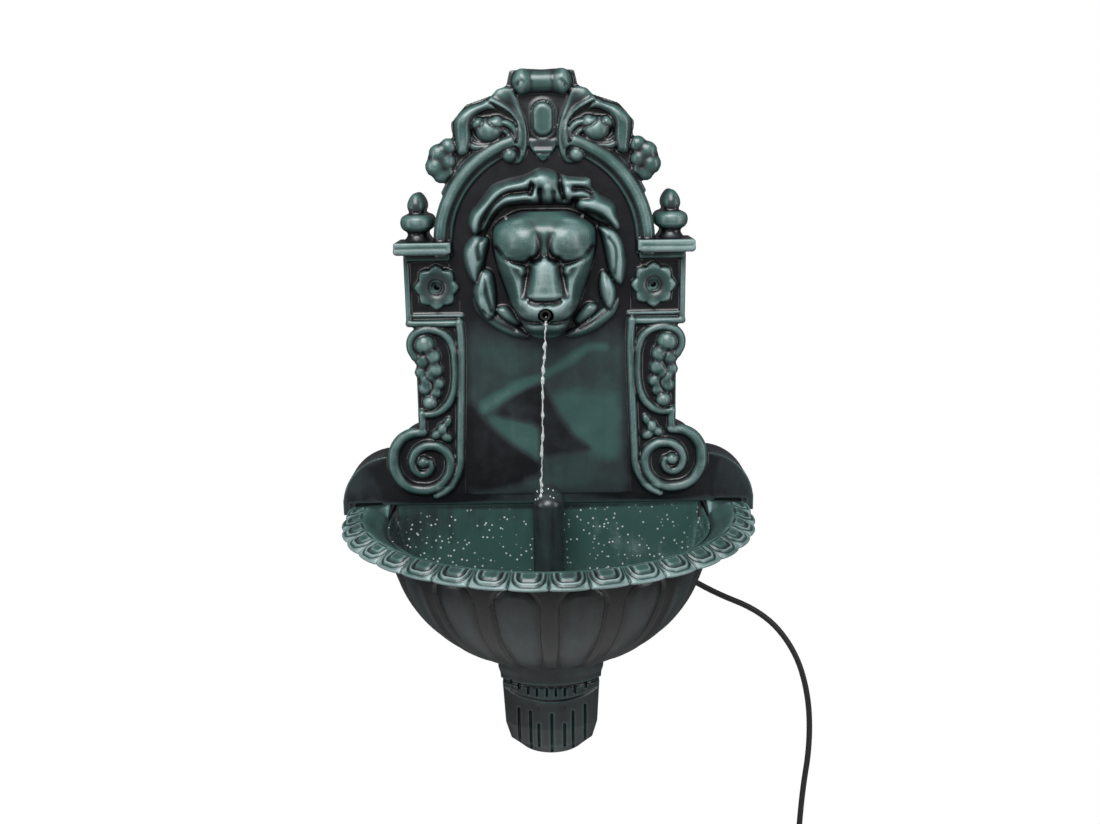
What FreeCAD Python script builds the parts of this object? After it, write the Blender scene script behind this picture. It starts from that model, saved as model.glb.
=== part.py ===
import FreeCAD, Part
import math
import os

# Garden wall fountain with a lion mask, a half-round basin and a small submersible pump.
# The house wall is the plane y = 0, the front looks along -Y, X is to the right and Z is up.
# The origin is the point midway between the two wall screws. All sizes are in millimetres.

Vector = FreeCAD.Vector

# Clearances
running_gap = 0.1
slide_gap = 0.3
screw_gap = 0.05
hose_fit = 0.05
soft_gap = 0.3
reach = 1.0

# Back panel
screw_spacing = 207.0
wall_screw_hole = 6.0
counterbore = 12.5
counterbore_depth = 2.0
wall_boss_radius = 8.0
panel_depth = 41.0
panel_wall = 3.0
panel_floor = 5.5
panel_lip_z = -216.0
rim_side_gap = 2.9
base_height = 50.0
ear_width = 7.0
ear_drop = 10.0
rim_notch_height = 2.5
notch_margin = 7.0
hose_notch_height = 16.0
leg_half_width = 126.0
box_half_width = 134.0
box_top_z = 31.0
box_bottom_z = -34.0
ledge_height = 11.0
ledge_half_width = 142.0
ledge_front = 60.0
arch_radius = 104.0
arch_centre_z = 41.0
volute_radius = 31.0
volute_x = 119.5
volute_height = 46.0
curl_radius = 16.0
curl_x = 117.0
curl_drop = 19.0
knob_radius = 14.0
knob_x = 94.0
knob_drop = 26.0

# Relief on the panel
arch_bead_radius = 7.0
arch_inner_bead_radius = 4.0
bead_overlap = 1.0
ridge_radius = 4.6
ridge_x = 82.5
volute_bead_radius = 5.0
volute_step = 7.5
volute_ball_radius = 6.4
rosette_radius = 21.0
rosette_height = 5.0
petal_radius = 6.7
rosette_petals = 8
finial_x = 121.0
finial_axis_depth = 33.5
finial_height = 47.0
crown_roll_radius = 12.0
crown_roll_half = 17.0
crown_rise = 56.0
jewel_half_width = 11.0
jewel_half_height = 19.5
jewel_rise = 10.5
jewel_height = 10.0
jewel_ledge = 2.6
jewel_ledge_height = 6.0
wing_curl_x = 30.5
wing_curl_drop = 23.0
wing_curl_radius = 7.5
flower_x = 54.0
flower_rise = 1.0
flower_radius = 11.0
bud_radius = 7.7
bud_offset = 10.0
bud_drop = 14.0
knob_ball = 11.2
wing_curl_bead = 3.6
wing_bead = 5.0
outer_wing_bead = 6.0
keystone_height = 6.0
relief_seat = 2.0
strand_ball = 8.0
strand_balls = 4
strand_pitch = 12.0
strand_sway = 2.0
cavetto_height = 4.0
# Outline of the crown's back plate, as x and height above the arch's top
crown_profile = [
    (40.0, -44.0), (84.0, -37.0), (84.0, 7.0), (68.0, 21.0), (46.0, 26.0), (34.0, 36.0),
    (30.0, 53.0), (24.0, 56.0),
]
# Inner and outer wing of the crown, and the keystone, in the same terms
inner_wing = [(28.0, 39.0), (47.0, 26.0), (41.0, 1.0), (37.0, -17.0)]
outer_wing = [(47.0, 26.0), (68.0, 19.0), (80.0, 5.0), (76.0, -15.0)]
keystone = [(-15.0, -6.0), (15.0, -6.0), (4.0, -29.0), (-4.0, -29.0)]
# Ridge of the side scroll, from its curl's centre
scroll_path = [(-12.0, 8.0), (-25.0, -10.0), (-25.0, -52.0), (-10.0, -70.0)]
scroll_strap_drop = 70.0
scroll_strap_length = 18.0
scroll_strap_inset = 5.0
tip_x = 114.0
tip_height = 11.0
tip_rise = 5.0
knee_drop = 10.0
knee_run = 12.0
# Half outline of a finial, as radius and height above its ledge
finial_profile = [
    (0.0, 0.0), (13.0, 0.0), (9.0, 6.0), (8.5, 14.0), (15.0, 17.0), (15.0, 23.0), (7.0, 27.0),
    (8.5, 34.0), (6.0, 41.0),
]

# Lion mask
mask_z = 38.0
mask_base_radius = 68.0
mask_rise = 24.0
mask_wall = 3.0
mane_lock_radius = 14.0
mane_locks = 18
mane_x_radius = 58.0
mane_z_radius = 64.0
face_radius = 47.0
face_behind = 8.0
face_drop = 10.0
muzzle_radius = 27.0
muzzle_forward = 21.0
muzzle_drop = 50.0
chin_radius = 14.0
chin_drop = 70.0
nose_radius = 12.0
brow_radius = 9.0
lip_radius = 13.0
lip_x = 11.0
lip_forward = 16.0
lip_drop = 1.0
chin_forward = 4.0
lock_forward = 4.0
# Ends of the nose bridge and of a brow: x, distance in front of the panel, height above the centre
nose_top = (0.0, 33.0, -8.0)
nose_tip_rise = 7.0
brow_ends = [(9.0, 33.0, 2.0), (32.0, 25.0, 10.0)]
mask_boss_depth = 16.0
mask_pilot_floor = 2.0
spout_stem = 5.0
mouth_drop = 60.0
mouth_radius = 6.5
mask_screw_x = 36.0
mask_screw_rise = (28.0, -34.0)

# Screws
screw_shank = 2.9
screw_hole = 4.4
screw_head = 8.0
screw_head_height = 2.6
screw_boss = 9.0

# Spout and hose
hose_outer = 12.0
hose_inner = 8.0
spout_outer = 10.0
spout_bore = 6.0
spout_length = 24.0
spout_flange = 14.0
spout_flange_thickness = 2.0
spout_recess = 3.0
hose_x = -4.0
hose_crossing_rise = 6.0
hose_back_y = -21.0
hose_front_y = -74.0
hose_front_bend = 27.5
hose_back_bend = 25.0
hose_window = 28.0
clip_rise = (136.0, 66.0)
clip_height = 9.0
clip_width = 22.0
clip_grip = 4.0

# Basin
basin_centre_y = -72.0
bowl_radius = 156.0
bowl_depth = 135.0
bowl_floor_lift = 4.0
bowl_band = 9.0
bowl_wall = 3.0
flute_depth = 2.2
flute_count = 8
flute_fillet_degrees = 5.5
flute_top_drop = 11.0
flute_bottom_lift = 14.0
back_wall_y = -38.0
back_wall = 3.0
back_ledge = 3.0
rim_inner_extra = 1.5
rim_outer_radius = 198.5
rim_drop = 2.8
rim_roll = 3.7
rim_roll_width = 7.0
rim_crest_drop = 1.0
rim_thickness = 4.0
scallop_count = 18
scallop_depth = 4.0
scallop_trim = 0.4
rim_crest_inset = 17.0
leaf_margin = 1.5
leaf_foot = 1.5
# The two raised steps of the leaf on each scallop: half width, outer radius and height
leaf_steps = [(12.0, 184.0, 0.5), (8.6, 177.5, 1.1)]
seat_half_width = 30.0
seat_margin = 20.0
seat_rear_margin = 4.0
seat_lift = 8.0
basin_screw_x = (52.0, 118.0)
basin_screw_y = -18.0
basin_screw_length = 16.0

# Hose cover
cover_half_width = 15.0
cover_wall = 1.6
cover_back_gap = 3.5
cover_round_behind = 4.0
cover_rise = 26.0
cover_height = 100.0
rail_neck_inner = 8.5
rail_flange = 2.2
rail_height = 64.0
cover_lip = 1.8
cover_lip_depth = 2.0
cover_shelf = 3.0

# Pendant under the basin
pendant_half_width = 48.5
pendant_side_depth = 40.0
pendant_bulge = 21.0
collar_extra = 5.0
collar_taper = 3.5
step_depth = 1.5
collar_overlap = 18.0
collar_height = 42.0
step_height = 5.0
cup_height = 44.0
cup_floor_height = 31.0
cup_taper = 2.4
cup_turn = 5.0
cup_turn_share = 0.6
cup_floor_inset = 16.0
pendant_wall = 3.0
pendant_groove_depth = 1.4
pendant_groove_width = 3.4
pendant_grooves = 7
groove_pitch = 11.5
groove_top_drop = 18.0
groove_step = 10.0
groove_bottom_lift = 10.0
pendant_ticks = 10
tick_width = 1.7
tick_pitch = 8.0
tick_height = 10.0
tick_top_rise = 2.0
lug_x = 32.0
lug_width = 12.0
lug_thickness = 6.0
tab_thickness = 8.0
tab_rise = 8.0
lug_height = 42.0
pendant_screw_rise = 9.0

# Pump
pump_width = 40.0
pump_height = 38.0
pump_x = hose_x
pump_depth = 42.0
outlet_offset = 12.0
pump_wall = 2.0
cup_foot = 5.0
cup_radius = 7.0
cup_stem_radius = 2.4
cup_stem = 1.4
cup_hollow = 1.6
cup_lip = 1.0
foot_spread_x = 12.0
foot_spread_y = 13.0
chamber_radius = 12.0
chamber_depth = 14.0
well_radius = 7.0
well_depth = 18.0
well_wall = 1.2
shaft_radius = 1.5
magnet_radius = 6.2
magnet_length = 15.0
impeller_radius = 10.5
impeller_depth = 9.0
impeller_hub = 4.0
impeller_blades = 6
blade_thickness = 1.2
bush_radius = 3.2
bush_length = 2.4
bush_seat_wall = 1.6
inlet_ring = 7.6
inlet_holes = 4
chamber_cover = 3.0
inlet_radius = 2.0
outlet_height = 16.0
filter_depth = 16.0
filter_wall = 1.8
filter_slots = 6
filter_slot_width = 2.4
slot_margin = 3.0
sponge_depth = 11.5
knob_disc_radius = 7.0
knob_disc_thickness = 2.4
knob_stem_radius = 2.0
knob_stem_length = 3.6
knob_ridge_width = 2.4
knob_ridge_height = 2.0
core_arm = 4.4
core_depth = 12.0
core_yoke = 4.0
coil_wrap = 2.0
coil_wrap_inner = 1.6
coil_length = 15.0

# Mains lead
cord_diameter = 6.0
lead_x = 7.0
lead_from_rear = 6.0
lead_back_y = -20.0
lead_crossing_rise = 5.0
lead_bend = 14.8
exit_y = -12.0
exit_drop = 75.0
exit_run = 36.0
inside_run = 30.0
lead_low_z = -258.0
grommet_flange = 16.0
grommet_waist = 11.0
grommet_flange_thickness = 2.0
gland_radius = 5.0
gland_height = 9.0
gland_tip_wall = 1.2
coil_ring_x = 233.0
coil_ring_z = -648.0
coil_ring_mean = 33.0
coil_ring_y = -12.0
coil_rows = 3
coil_layers = 2
tie_thickness = 1.4
tie_width = 9.0
tail_drop = 20.0
plug_width = 34.0
plug_thickness = 13.7
plug_length = 36.0
plug_drop = 42.0
plug_offset = 40.0
pin_radius = 2.0
pin_length = 19.0
pin_spacing = 18.6
plug_relief_length = 14.0
relief_tip_wall = 1.0
relief_foot_wall = 2.6
plug_corner = 4.1

# Places that follow from the sizes above
panel_front_y = -panel_depth
cavity_front_y = panel_front_y + panel_wall
bead_axis_y = panel_front_y - 2.0
ledge_top_z = box_top_z + ledge_height
finial_tip_z = ledge_top_z + finial_height
arch_top_z = arch_centre_z + arch_radius
crown_top_z = arch_top_z + crown_rise
jewel_z = arch_top_z + jewel_rise
wing_curl_z = arch_top_z - wing_curl_drop
flower_z = arch_top_z + flower_rise
knob_z = arch_top_z - knob_drop
volute_z = panel_lip_z + volute_height
curl_z = box_bottom_z - curl_drop
mouth_z = mask_z - mouth_drop
face_z = mask_z - face_drop
muzzle_z = mask_z - muzzle_drop
chin_z = mask_z - chin_drop
face_centre_y = panel_front_y + face_behind
muzzle_y = panel_front_y - muzzle_forward
muzzle_front_y = muzzle_y - muzzle_radius
spout_tip_y = muzzle_front_y + spout_recess
spout_seat_y = spout_tip_y + spout_length
basin_top_z = panel_lip_z
bowl_centre_z = basin_top_z - bowl_band
bowl_bottom_z = bowl_centre_z - bowl_depth
bowl_knuckle = bowl_depth - bowl_floor_lift
knuckle_x = bowl_radius - bowl_knuckle
flute_radius = bowl_radius - flute_depth
flute_top_z = bowl_centre_z - flute_top_drop
flute_bottom_z = bowl_bottom_z + flute_bottom_lift
inner_radius = flute_radius - bowl_wall
skirt_wall = bowl_wall + flute_depth
rim_inner_radius = bowl_radius + rim_inner_extra
rim_crest_radius = rim_outer_radius - rim_crest_inset
scallop_top = rim_outer_radius - scallop_trim
scallop_valley = scallop_top - scallop_depth
base_half_width = scallop_valley + rim_side_gap + ear_width
seat_z = bowl_bottom_z + seat_lift
cover_back_y = back_wall_y - cover_back_gap
cover_round_y = hose_front_y + cover_round_behind
cover_top_z = basin_top_z + cover_rise
cover_bottom_z = cover_top_z - cover_height
rail_top_z = cover_bottom_z + rail_height
hose_crossing_z = basin_top_z + hose_crossing_rise
lead_crossing_z = basin_top_z + lead_crossing_rise
collar_top_z = bowl_bottom_z + collar_overlap
collar_bottom_z = bowl_bottom_z - collar_height
cup_top_z = collar_bottom_z - step_height
cup_low_z = cup_top_z - cup_height
pendant_bottom_z = cup_low_z - cup_floor_height
lug_bottom_z = collar_top_z - lug_height
pendant_screw_z = lug_bottom_z + pendant_screw_rise
pump_bottom_z = seat_z + cup_foot
pump_top_z = pump_bottom_z + pump_height
pump_axis_z = pump_bottom_z + 0.5 * pump_height
pump_front_y = hose_front_y - outlet_offset
pump_rear_y = pump_front_y + pump_depth
pump_outlet_z = pump_top_z + outlet_height
chamber_back_y = pump_front_y + chamber_depth
well_back_y = chamber_back_y + well_depth
seat_front_y = pump_front_y - seat_margin
seat_rear_y = pump_rear_y + seat_rear_margin
cord_radius = 0.5 * cord_diameter
hose_radius = 0.5 * hose_outer
lead_front_y = pump_rear_y - lead_from_rear
exit_slope = math.asin(exit_drop / bowl_knuckle)
exit_x = knuckle_x + bowl_knuckle * math.cos(exit_slope)
plug_top_z = coil_ring_z - plug_drop
plug_x = coil_ring_x + plug_offset

exit_point = Vector(exit_x, exit_y, bowl_centre_z - exit_drop)
exit_way = Vector(math.cos(exit_slope), 0, -math.sin(exit_slope))

# Route of the free part of the mains lead, from its grommet to the coil
free_cord_route = [
    exit_point,
    exit_point + exit_way * exit_run,
    Vector(222.0, -12.5, -346.0),
    Vector(256.0, -13.0, -388.0),
    Vector(272.0, -14.0, -440.0),
    Vector(275.0, -14.0, -498.0),
    Vector(268.5, -12.0, -556.0),
    Vector(266.0, -9.0, -640.0),
]


def box(x0, x1, y0, y1, z0, z1):
    """A block between two corners."""
    return Part.makeBox(x1 - x0, y1 - y0, z1 - z0, Vector(x0, y0, z0))


def rod(radius, start, end):
    """A cylinder from one point to another."""
    run = end - start
    return Part.makeCylinder(radius, run.Length, start, run)


def ball(radius, centre):
    return Part.makeSphere(radius, centre)


def capsule(radius, start, end):
    """A rod with round ends."""
    return fuse([rod(radius, start, end), ball(radius, start), ball(radius, end)])


def fuse(shapes):
    """One shape from several, with the seams between flush faces removed."""
    whole = shapes[0]
    if len(shapes) > 1:
        whole = whole.multiFuse(shapes[1:])
    return whole.removeSplitter()


def mirror(shape):
    return shape.mirror(Vector(0, 0, 0), Vector(1, 0, 0))


def pair(shape):
    return [shape, mirror(shape)]


def plate_xz(points, y0, y1):
    """A flat plate with a polygon outline given as (x, z) points."""
    outline = [Vector(x, y0, z) for x, z in points]
    face = Part.Face(Part.makePolygon(outline + outline[:1]))
    return face.extrude(Vector(0, y1 - y0, 0))


def plate_xy(edges, z0, z1):
    """A flat plate whose closed outline is a list of edges drawn at height z0."""
    face = Part.Face(Part.Wire(Part.__sortEdges__(edges)))
    return face.extrude(Vector(0, 0, z1 - z0))


def line(start, end):
    return Part.LineSegment(start, end).toShape()


def arc(start, middle, end):
    return Part.Arc(start, middle, end).toShape()


def turned(points, centre, degrees, axis=Vector(0, 0, 1)):
    """A solid of revolution of a closed (radius, z) outline about an upright axis."""
    outline = [Vector(centre.x + r, centre.y, z) for r, z in points]
    face = Part.Face(Part.makePolygon(outline + outline[:1]))
    return face.revolve(centre, axis, degrees)


def bead_arc(centre_x, centre_z, radius, start, sweep, bead, y=None):
    """A round bead along an arc in the front plane, angles in degrees from +X towards +Z."""
    level = bead_axis_y if y is None else y
    angle = math.radians(start)
    on_arc = Vector(centre_x + radius * math.cos(angle), level, centre_z + radius * math.sin(angle))
    tangent = Vector(-math.sin(angle), 0, math.cos(angle))
    disc = Part.Face(Part.Wire(Part.makeCircle(bead, on_arc, tangent)))
    return disc.revolve(Vector(centre_x, level, centre_z), Vector(0, -1, 0), sweep)


def bead_line(x0, z0, x1, z1, bead, y=None):
    level = bead_axis_y if y is None else y
    return capsule(bead, Vector(x0, level, z0), Vector(x1, level, z1))


def front_of(shape, y, size=600.0):
    """The part of a shape in front of a plane y = constant."""
    return shape.common(box(-size, size, -size, y, -size, size))


def bent_path(points, bends):
    """Straight runs joined by tangent arcs: a wire and its length."""
    edges = []
    last = points[0]
    for index in range(1, len(points) - 1):
        corner = points[index]
        before = (points[index - 1] - corner).normalize()
        after = (points[index + 1] - corner).normalize()
        turn = math.pi - before.getAngle(after)
        cut_back = bends[index - 1] * math.tan(turn / 2)
        start = corner + before * cut_back
        end = corner + after * cut_back
        inward = (before + after).normalize()
        sagitta = bends[index - 1] * (1 / math.cos(turn / 2) - 1)
        if (start - last).Length > screw_gap:
            edges.append(line(last, start))
        else:
            start = last
        edges.append(arc(start, corner + inward * sagitta, end))
        last = end
    edges.append(line(last, points[-1]))
    path = Part.Wire(edges)
    return path, path.Length


def wide_bends(points):
    """The largest even bend at each corner that its two runs allow."""
    bends = []
    for index in range(1, len(points) - 1):
        before = points[index - 1] - points[index]
        after = points[index + 1] - points[index]
        turn = math.pi - before.getAngle(after)
        bends.append(0.45 * min(before.Length, after.Length) / math.tan(turn / 2))
    return bends


def swept_tube(points, bends, radius):
    path, length = bent_path(points, bends)
    first = path.Edges[0]
    heading = first.tangentAt(first.FirstParameter)
    ring = Part.Wire(Part.makeCircle(radius, points[0], heading))
    tube = path.makePipeShell([ring], True, False)
    return tube, length


def screw(head_face, direction, length):
    """A pan-head screw: the middle of the head's bearing face, and the way that it points."""
    way = Vector(direction).normalize()
    head = rod(0.5 * screw_head, head_face, head_face - way * screw_head_height)
    shank = rod(0.5 * screw_shank, head_face, head_face + way * length)
    return fuse([head, shank])


# Back panel

def base_plate(inset, depth):
    low = panel_lip_z + (panel_floor if inset else 0.0)
    top = panel_lip_z + base_height - inset
    corner_x = base_half_width - base_height
    pieces = [box(-corner_x, corner_x, -depth, 0, low, top)]
    round_radius = base_height - inset
    for side in (-1, 1):
        middle = Vector(side * corner_x, 0, panel_lip_z)
        quarter = rod(round_radius, middle, middle - Vector(0, depth, 0))
        size = base_half_width
        below = box(-2 * size, 2 * size, -depth - reach, reach, low - 4 * base_height, low)
        pieces.append(quarter.cut(below))
    return pieces


def crown_outline(inset):
    """The crown's back plate above the arch, as (x, z) points."""
    side = [(x, arch_top_z + rise) for x, rise in crown_profile]
    points = side + [(-x, z) for x, z in reversed(side)]
    wire = Part.makePolygon([Vector(x, 0, z) for x, z in points + points[:1]])
    if inset:
        wire = wire.makeOffset2D(-inset)
    return wire


def panel_blocks(inset, depth):
    """The panel's stacked outlines as plates, each drawn in by the inset."""
    leg = leg_half_width - inset
    half_box = box_half_width - inset
    blocks = base_plate(inset, depth)
    middle_z = panel_lip_z + 0.5 * base_height
    blocks.append(box(-leg, leg, -depth, 0, middle_z, box_bottom_z + inset + reach))
    blocks.append(box(-half_box, half_box, -depth, 0, box_bottom_z + inset, ledge_top_z - inset))
    arch_base = Vector(0, 0, arch_centre_z)
    blocks.append(rod(arch_radius - inset, arch_base, arch_base - Vector(0, depth, 0)))
    crown = Part.Face(crown_outline(inset))
    blocks.append(crown.extrude(Vector(0, -depth, 0)))
    rounds = [
        (volute_x, volute_z, volute_radius),
        (curl_x, curl_z, curl_radius),
        (knob_x, knob_z, knob_radius),
    ]
    for x, z, radius in rounds:
        for side in (-1, 1):
            middle = Vector(side * x, 0, z)
            blocks.append(rod(radius - inset, middle, middle - Vector(0, depth, 0)))
    return fuse(blocks)


def spiral(x, z, outer, turns_half, step, bead, start):
    """A volute of half rings that shrink by the same step each time."""
    pieces = []
    centre_x = x
    radius = outer
    angle = start
    for _ in range(turns_half):
        pieces.append(bead_arc(centre_x, z, radius, angle, 180, bead))
        shift = 0.5 * step * math.cos(math.radians(angle))
        centre_x -= shift
        radius -= 0.5 * step
        angle += 180
    return pieces


def bead_path(points, bead):
    """Round beads along the runs between (x, z) points."""
    return [bead_line(*start, *end, bead) for start, end in zip(points, points[1:])]


def scroll_relief():
    """The scroll bracket on the right: its ridge, its curl, its leaf strand and its volute."""
    knee_z = volute_z - knee_drop
    tip_z = panel_lip_z + tip_height
    ridge = [
        (ridge_x, box_bottom_z), (ridge_x, knee_z), (ridge_x + knee_run, tip_z + tip_rise), (tip_x, tip_z),
    ]
    strap_z = curl_z - scroll_strap_drop
    strap_x = leg_half_width - scroll_strap_inset
    side = [(curl_x + x, curl_z + rise) for x, rise in scroll_path]
    side += [(strap_x, strap_z), (strap_x, strap_z - scroll_strap_length)]
    pieces = bead_path(ridge, ridge_radius) + bead_path(side, ridge_radius)
    pieces += [
        bead_arc(curl_x, curl_z, curl_radius - ridge_radius, 170, -250, ridge_radius),
        ball(volute_ball_radius, Vector(curl_x, panel_front_y, curl_z)),
        ball(volute_ball_radius, Vector(volute_x, panel_front_y, volute_z)),
    ]
    for index in range(strand_balls):
        sway = strand_sway * (-1) ** index
        z = curl_z - (index + 2) * strand_pitch
        pieces.append(ball(strand_ball, Vector(curl_x - 2 * strand_sway + sway, panel_front_y, z)))
    outer = volute_radius - volute_bead_radius
    pieces += spiral(volute_x, volute_z, outer, 3, volute_step, volute_bead_radius, 60)
    return pieces


def box_relief():
    """The frame round the right rosette."""
    edge_x = box_half_width - ridge_radius
    low = box_bottom_z + ridge_radius
    inner_x = ridge_x - ridge_radius
    return [
        bead_line(edge_x, low, edge_x, box_top_z - ridge_radius, ridge_radius),
        bead_line(inner_x, low, edge_x, low, ridge_radius),
    ]


def ledge():
    """The right shoulder ledge that carries the finial."""
    return box(arch_radius - relief_seat, ledge_half_width, -ledge_front, 0, box_top_z, ledge_top_z)


def ledge_cavetto():
    """The smaller step under the right ledge."""
    front = -0.5 * (ledge_front + panel_depth)
    return [box(arch_radius + relief_seat, box_half_width, front, 0, box_top_z - cavetto_height, box_top_z)]


def finial():
    """The right finial: a bud on a disc, a neck and a flared foot, carried back to the wall."""
    profile = [(r, ledge_top_z + rise) for r, rise in finial_profile] + [(0.0, finial_tip_z)]
    axis = Vector(finial_x, -finial_axis_depth, 0)
    round_part = turned(profile, axis, 360)
    silhouette = [(finial_x + r, z) for r, z in profile]
    silhouette += [(finial_x - r, z) for r, z in reversed(profile)][1:-1]
    behind = plate_xz(silhouette, axis.y, 0)
    return [round_part, behind]


def rosette(side):
    """An eight-petalled rosette round a wall screw hole."""
    centre = Vector(side * 0.5 * screw_spacing, panel_front_y + reach, 0)
    front = Vector(0, -rosette_height - reach, 0)
    petal_ring = rosette_radius - petal_radius
    pieces = [rod(petal_ring, centre, centre + front)]
    for index in range(rosette_petals):
        angle = 2 * math.pi * (index + 0.5) / rosette_petals
        place = centre + Vector(petal_ring * math.cos(angle), 0, petal_ring * math.sin(angle))
        pieces.append(rod(petal_radius, place, place + front))
    return pieces


def crown_relief():
    """The roll, the jewel and the right half of the scrolled crown."""
    roll_z = crown_top_z - crown_roll_radius
    roll_y = panel_front_y + reach
    left_end = Vector(-crown_roll_half, roll_y, roll_z)
    right_end = Vector(crown_roll_half, roll_y, roll_z)
    pieces = [capsule(crown_roll_radius, left_end, right_end)]
    half_straight = jewel_half_height - jewel_half_width
    for step, rise in ((0.0, jewel_ledge_height), (jewel_ledge, jewel_height)):
        radius = jewel_half_width - step
        for offset in (-half_straight, half_straight):
            base = Vector(0, panel_front_y + reach, jewel_z + offset)
            pieces.append(rod(radius, base, base - Vector(0, rise + reach, 0)))
        pieces.append(box(-radius, radius, panel_front_y - rise, panel_front_y + reach,
                          jewel_z - half_straight, jewel_z + half_straight))
    stone = [(x, arch_top_z + rise) for x, rise in keystone]
    pieces.append(plate_xz(stone, panel_front_y - keystone_height, panel_front_y + reach))
    inner = [(x, arch_top_z + rise) for x, rise in inner_wing]
    outer = [(x, arch_top_z + rise) for x, rise in outer_wing]
    curl = wing_curl_radius - relief_seat
    wing = bead_path(inner, wing_bead) + bead_path(outer, outer_wing_bead)
    wing += [
        bead_arc(wing_curl_x, wing_curl_z, curl, 20, 300, wing_curl_bead),
        ball(flower_radius, Vector(flower_x, panel_front_y, flower_z)),
        ball(bud_radius, Vector(flower_x + bud_offset, panel_front_y, flower_z - bud_drop)),
        ball(knob_ball, Vector(knob_x, panel_front_y + relief_seat, knob_z)),
    ]
    for shape in wing:
        pieces += pair(shape)
    return pieces


def arch_relief():
    """The two half-round mouldings of the arch."""
    outer = arch_radius - arch_bead_radius
    inner = outer - arch_bead_radius - arch_inner_bead_radius + bead_overlap
    return [
        bead_arc(0, arch_centre_z, outer, 0, 180, arch_bead_radius),
        bead_arc(0, arch_centre_z, inner, 0, 180, arch_inner_bead_radius),
    ]


def mask_screw_places():
    return [Vector(side * mask_screw_x, 0, mask_z + rise) for rise in mask_screw_rise for side in (-1, 1)]


def basin_screw_places():
    return [Vector(side * x, basin_screw_y, 0) for x in basin_screw_x for side in (-1, 1)]


def back_panel():
    """The hollow moulded panel with all its relief, open towards the wall."""
    solid = panel_blocks(0.0, panel_depth)
    cavity = panel_blocks(panel_wall, -cavity_front_y)
    cavity = cavity.fuse(cavity.translated(Vector(0, reach, 0)))
    shell = solid.cut(cavity)
    surface = arch_relief() + crown_relief()
    for shape in scroll_relief() + box_relief():
        surface += pair(shape)
    relief = [front_of(shape, cavity_front_y - reach) for shape in surface]
    for shape in finial() + [ledge()] + ledge_cavetto():
        relief += pair(shape)
    for side in (-1, 1):
        relief += rosette(side)
        ear_x = side * (base_half_width - 0.5 * ear_width)
        relief.append(box(ear_x - 0.5 * ear_width, ear_x + 0.5 * ear_width, panel_front_y, 0,
                          panel_lip_z - ear_drop, panel_lip_z + panel_floor))
        boss = Vector(side * 0.5 * screw_spacing, 0, 0)
        relief.append(rod(wall_boss_radius, boss, boss + Vector(0, panel_front_y, 0)))
    for place in basin_screw_places():
        foot = Vector(place.x, place.y, panel_lip_z)
        relief.append(rod(0.5 * screw_boss, foot, foot + Vector(0, 0, basin_screw_length)))
    panel = shell.multiFuse(relief)
    cuts = []
    size = base_half_width
    cuts.append(box(-size * 2, size * 2, 0, size, -size * 2, size * 2))
    for side in (-1, 1):
        start = Vector(side * 0.5 * screw_spacing, reach, 0)
        far = Vector(start.x, -ledge_front - reach, 0)
        cuts.append(rod(0.5 * wall_screw_hole, start, far))
        seat = Vector(start.x, panel_front_y - rosette_height + counterbore_depth, 0)
        cuts.append(rod(0.5 * counterbore, seat, far))
        notch_inner = side * (rim_inner_radius + notch_margin)
        notch_outer = side * (base_half_width - ear_width)
        cuts.append(box(min(notch_inner, notch_outer), max(notch_inner, notch_outer),
                        panel_front_y - ledge_front, reach, panel_lip_z - ear_drop - reach,
                        panel_lip_z + rim_notch_height))
    for place in mask_screw_places():
        start = Vector(place.x, reach, place.z)
        cuts.append(rod(0.5 * screw_hole, start, Vector(place.x, panel_front_y - reach, place.z)))
    window = Vector(0, reach, mouth_z)
    cuts.append(rod(0.5 * hose_window, window, Vector(0, panel_front_y - reach, mouth_z)))
    notch = cover_half_width - 2.0
    cuts.append(box(-notch, notch, panel_front_y - reach, lead_back_y + 2.0 * cord_radius,
                    panel_lip_z - reach, panel_lip_z + hose_notch_height))
    for place in basin_screw_places():
        foot = Vector(place.x, place.y, panel_lip_z - reach)
        pilot = 0.5 * screw_shank + screw_gap
        cuts.append(rod(pilot, foot, foot + Vector(0, 0, basin_screw_length + reach)))
    return panel.cut(Part.makeCompound(cuts)).removeSplitter()


# Lion mask and spout

def mask_body(inset):
    """The mask's bulk: a shallow dome, the face, the muzzle and the chin."""
    dome_radius = (mask_base_radius ** 2 + mask_rise ** 2) / (2 * mask_rise)
    dome_y = panel_front_y - mask_rise + dome_radius
    pieces = [
        ball(dome_radius - inset, Vector(0, dome_y, mask_z)),
        ball(face_radius - inset, Vector(0, face_centre_y, face_z)),
        ball(muzzle_radius - inset, Vector(0, muzzle_y, muzzle_z)),
    ]
    return [front_of(piece, panel_front_y) for piece in pieces]


def on_mask(x, forward, rise):
    return Vector(x, panel_front_y - forward, mask_z + rise)


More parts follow.
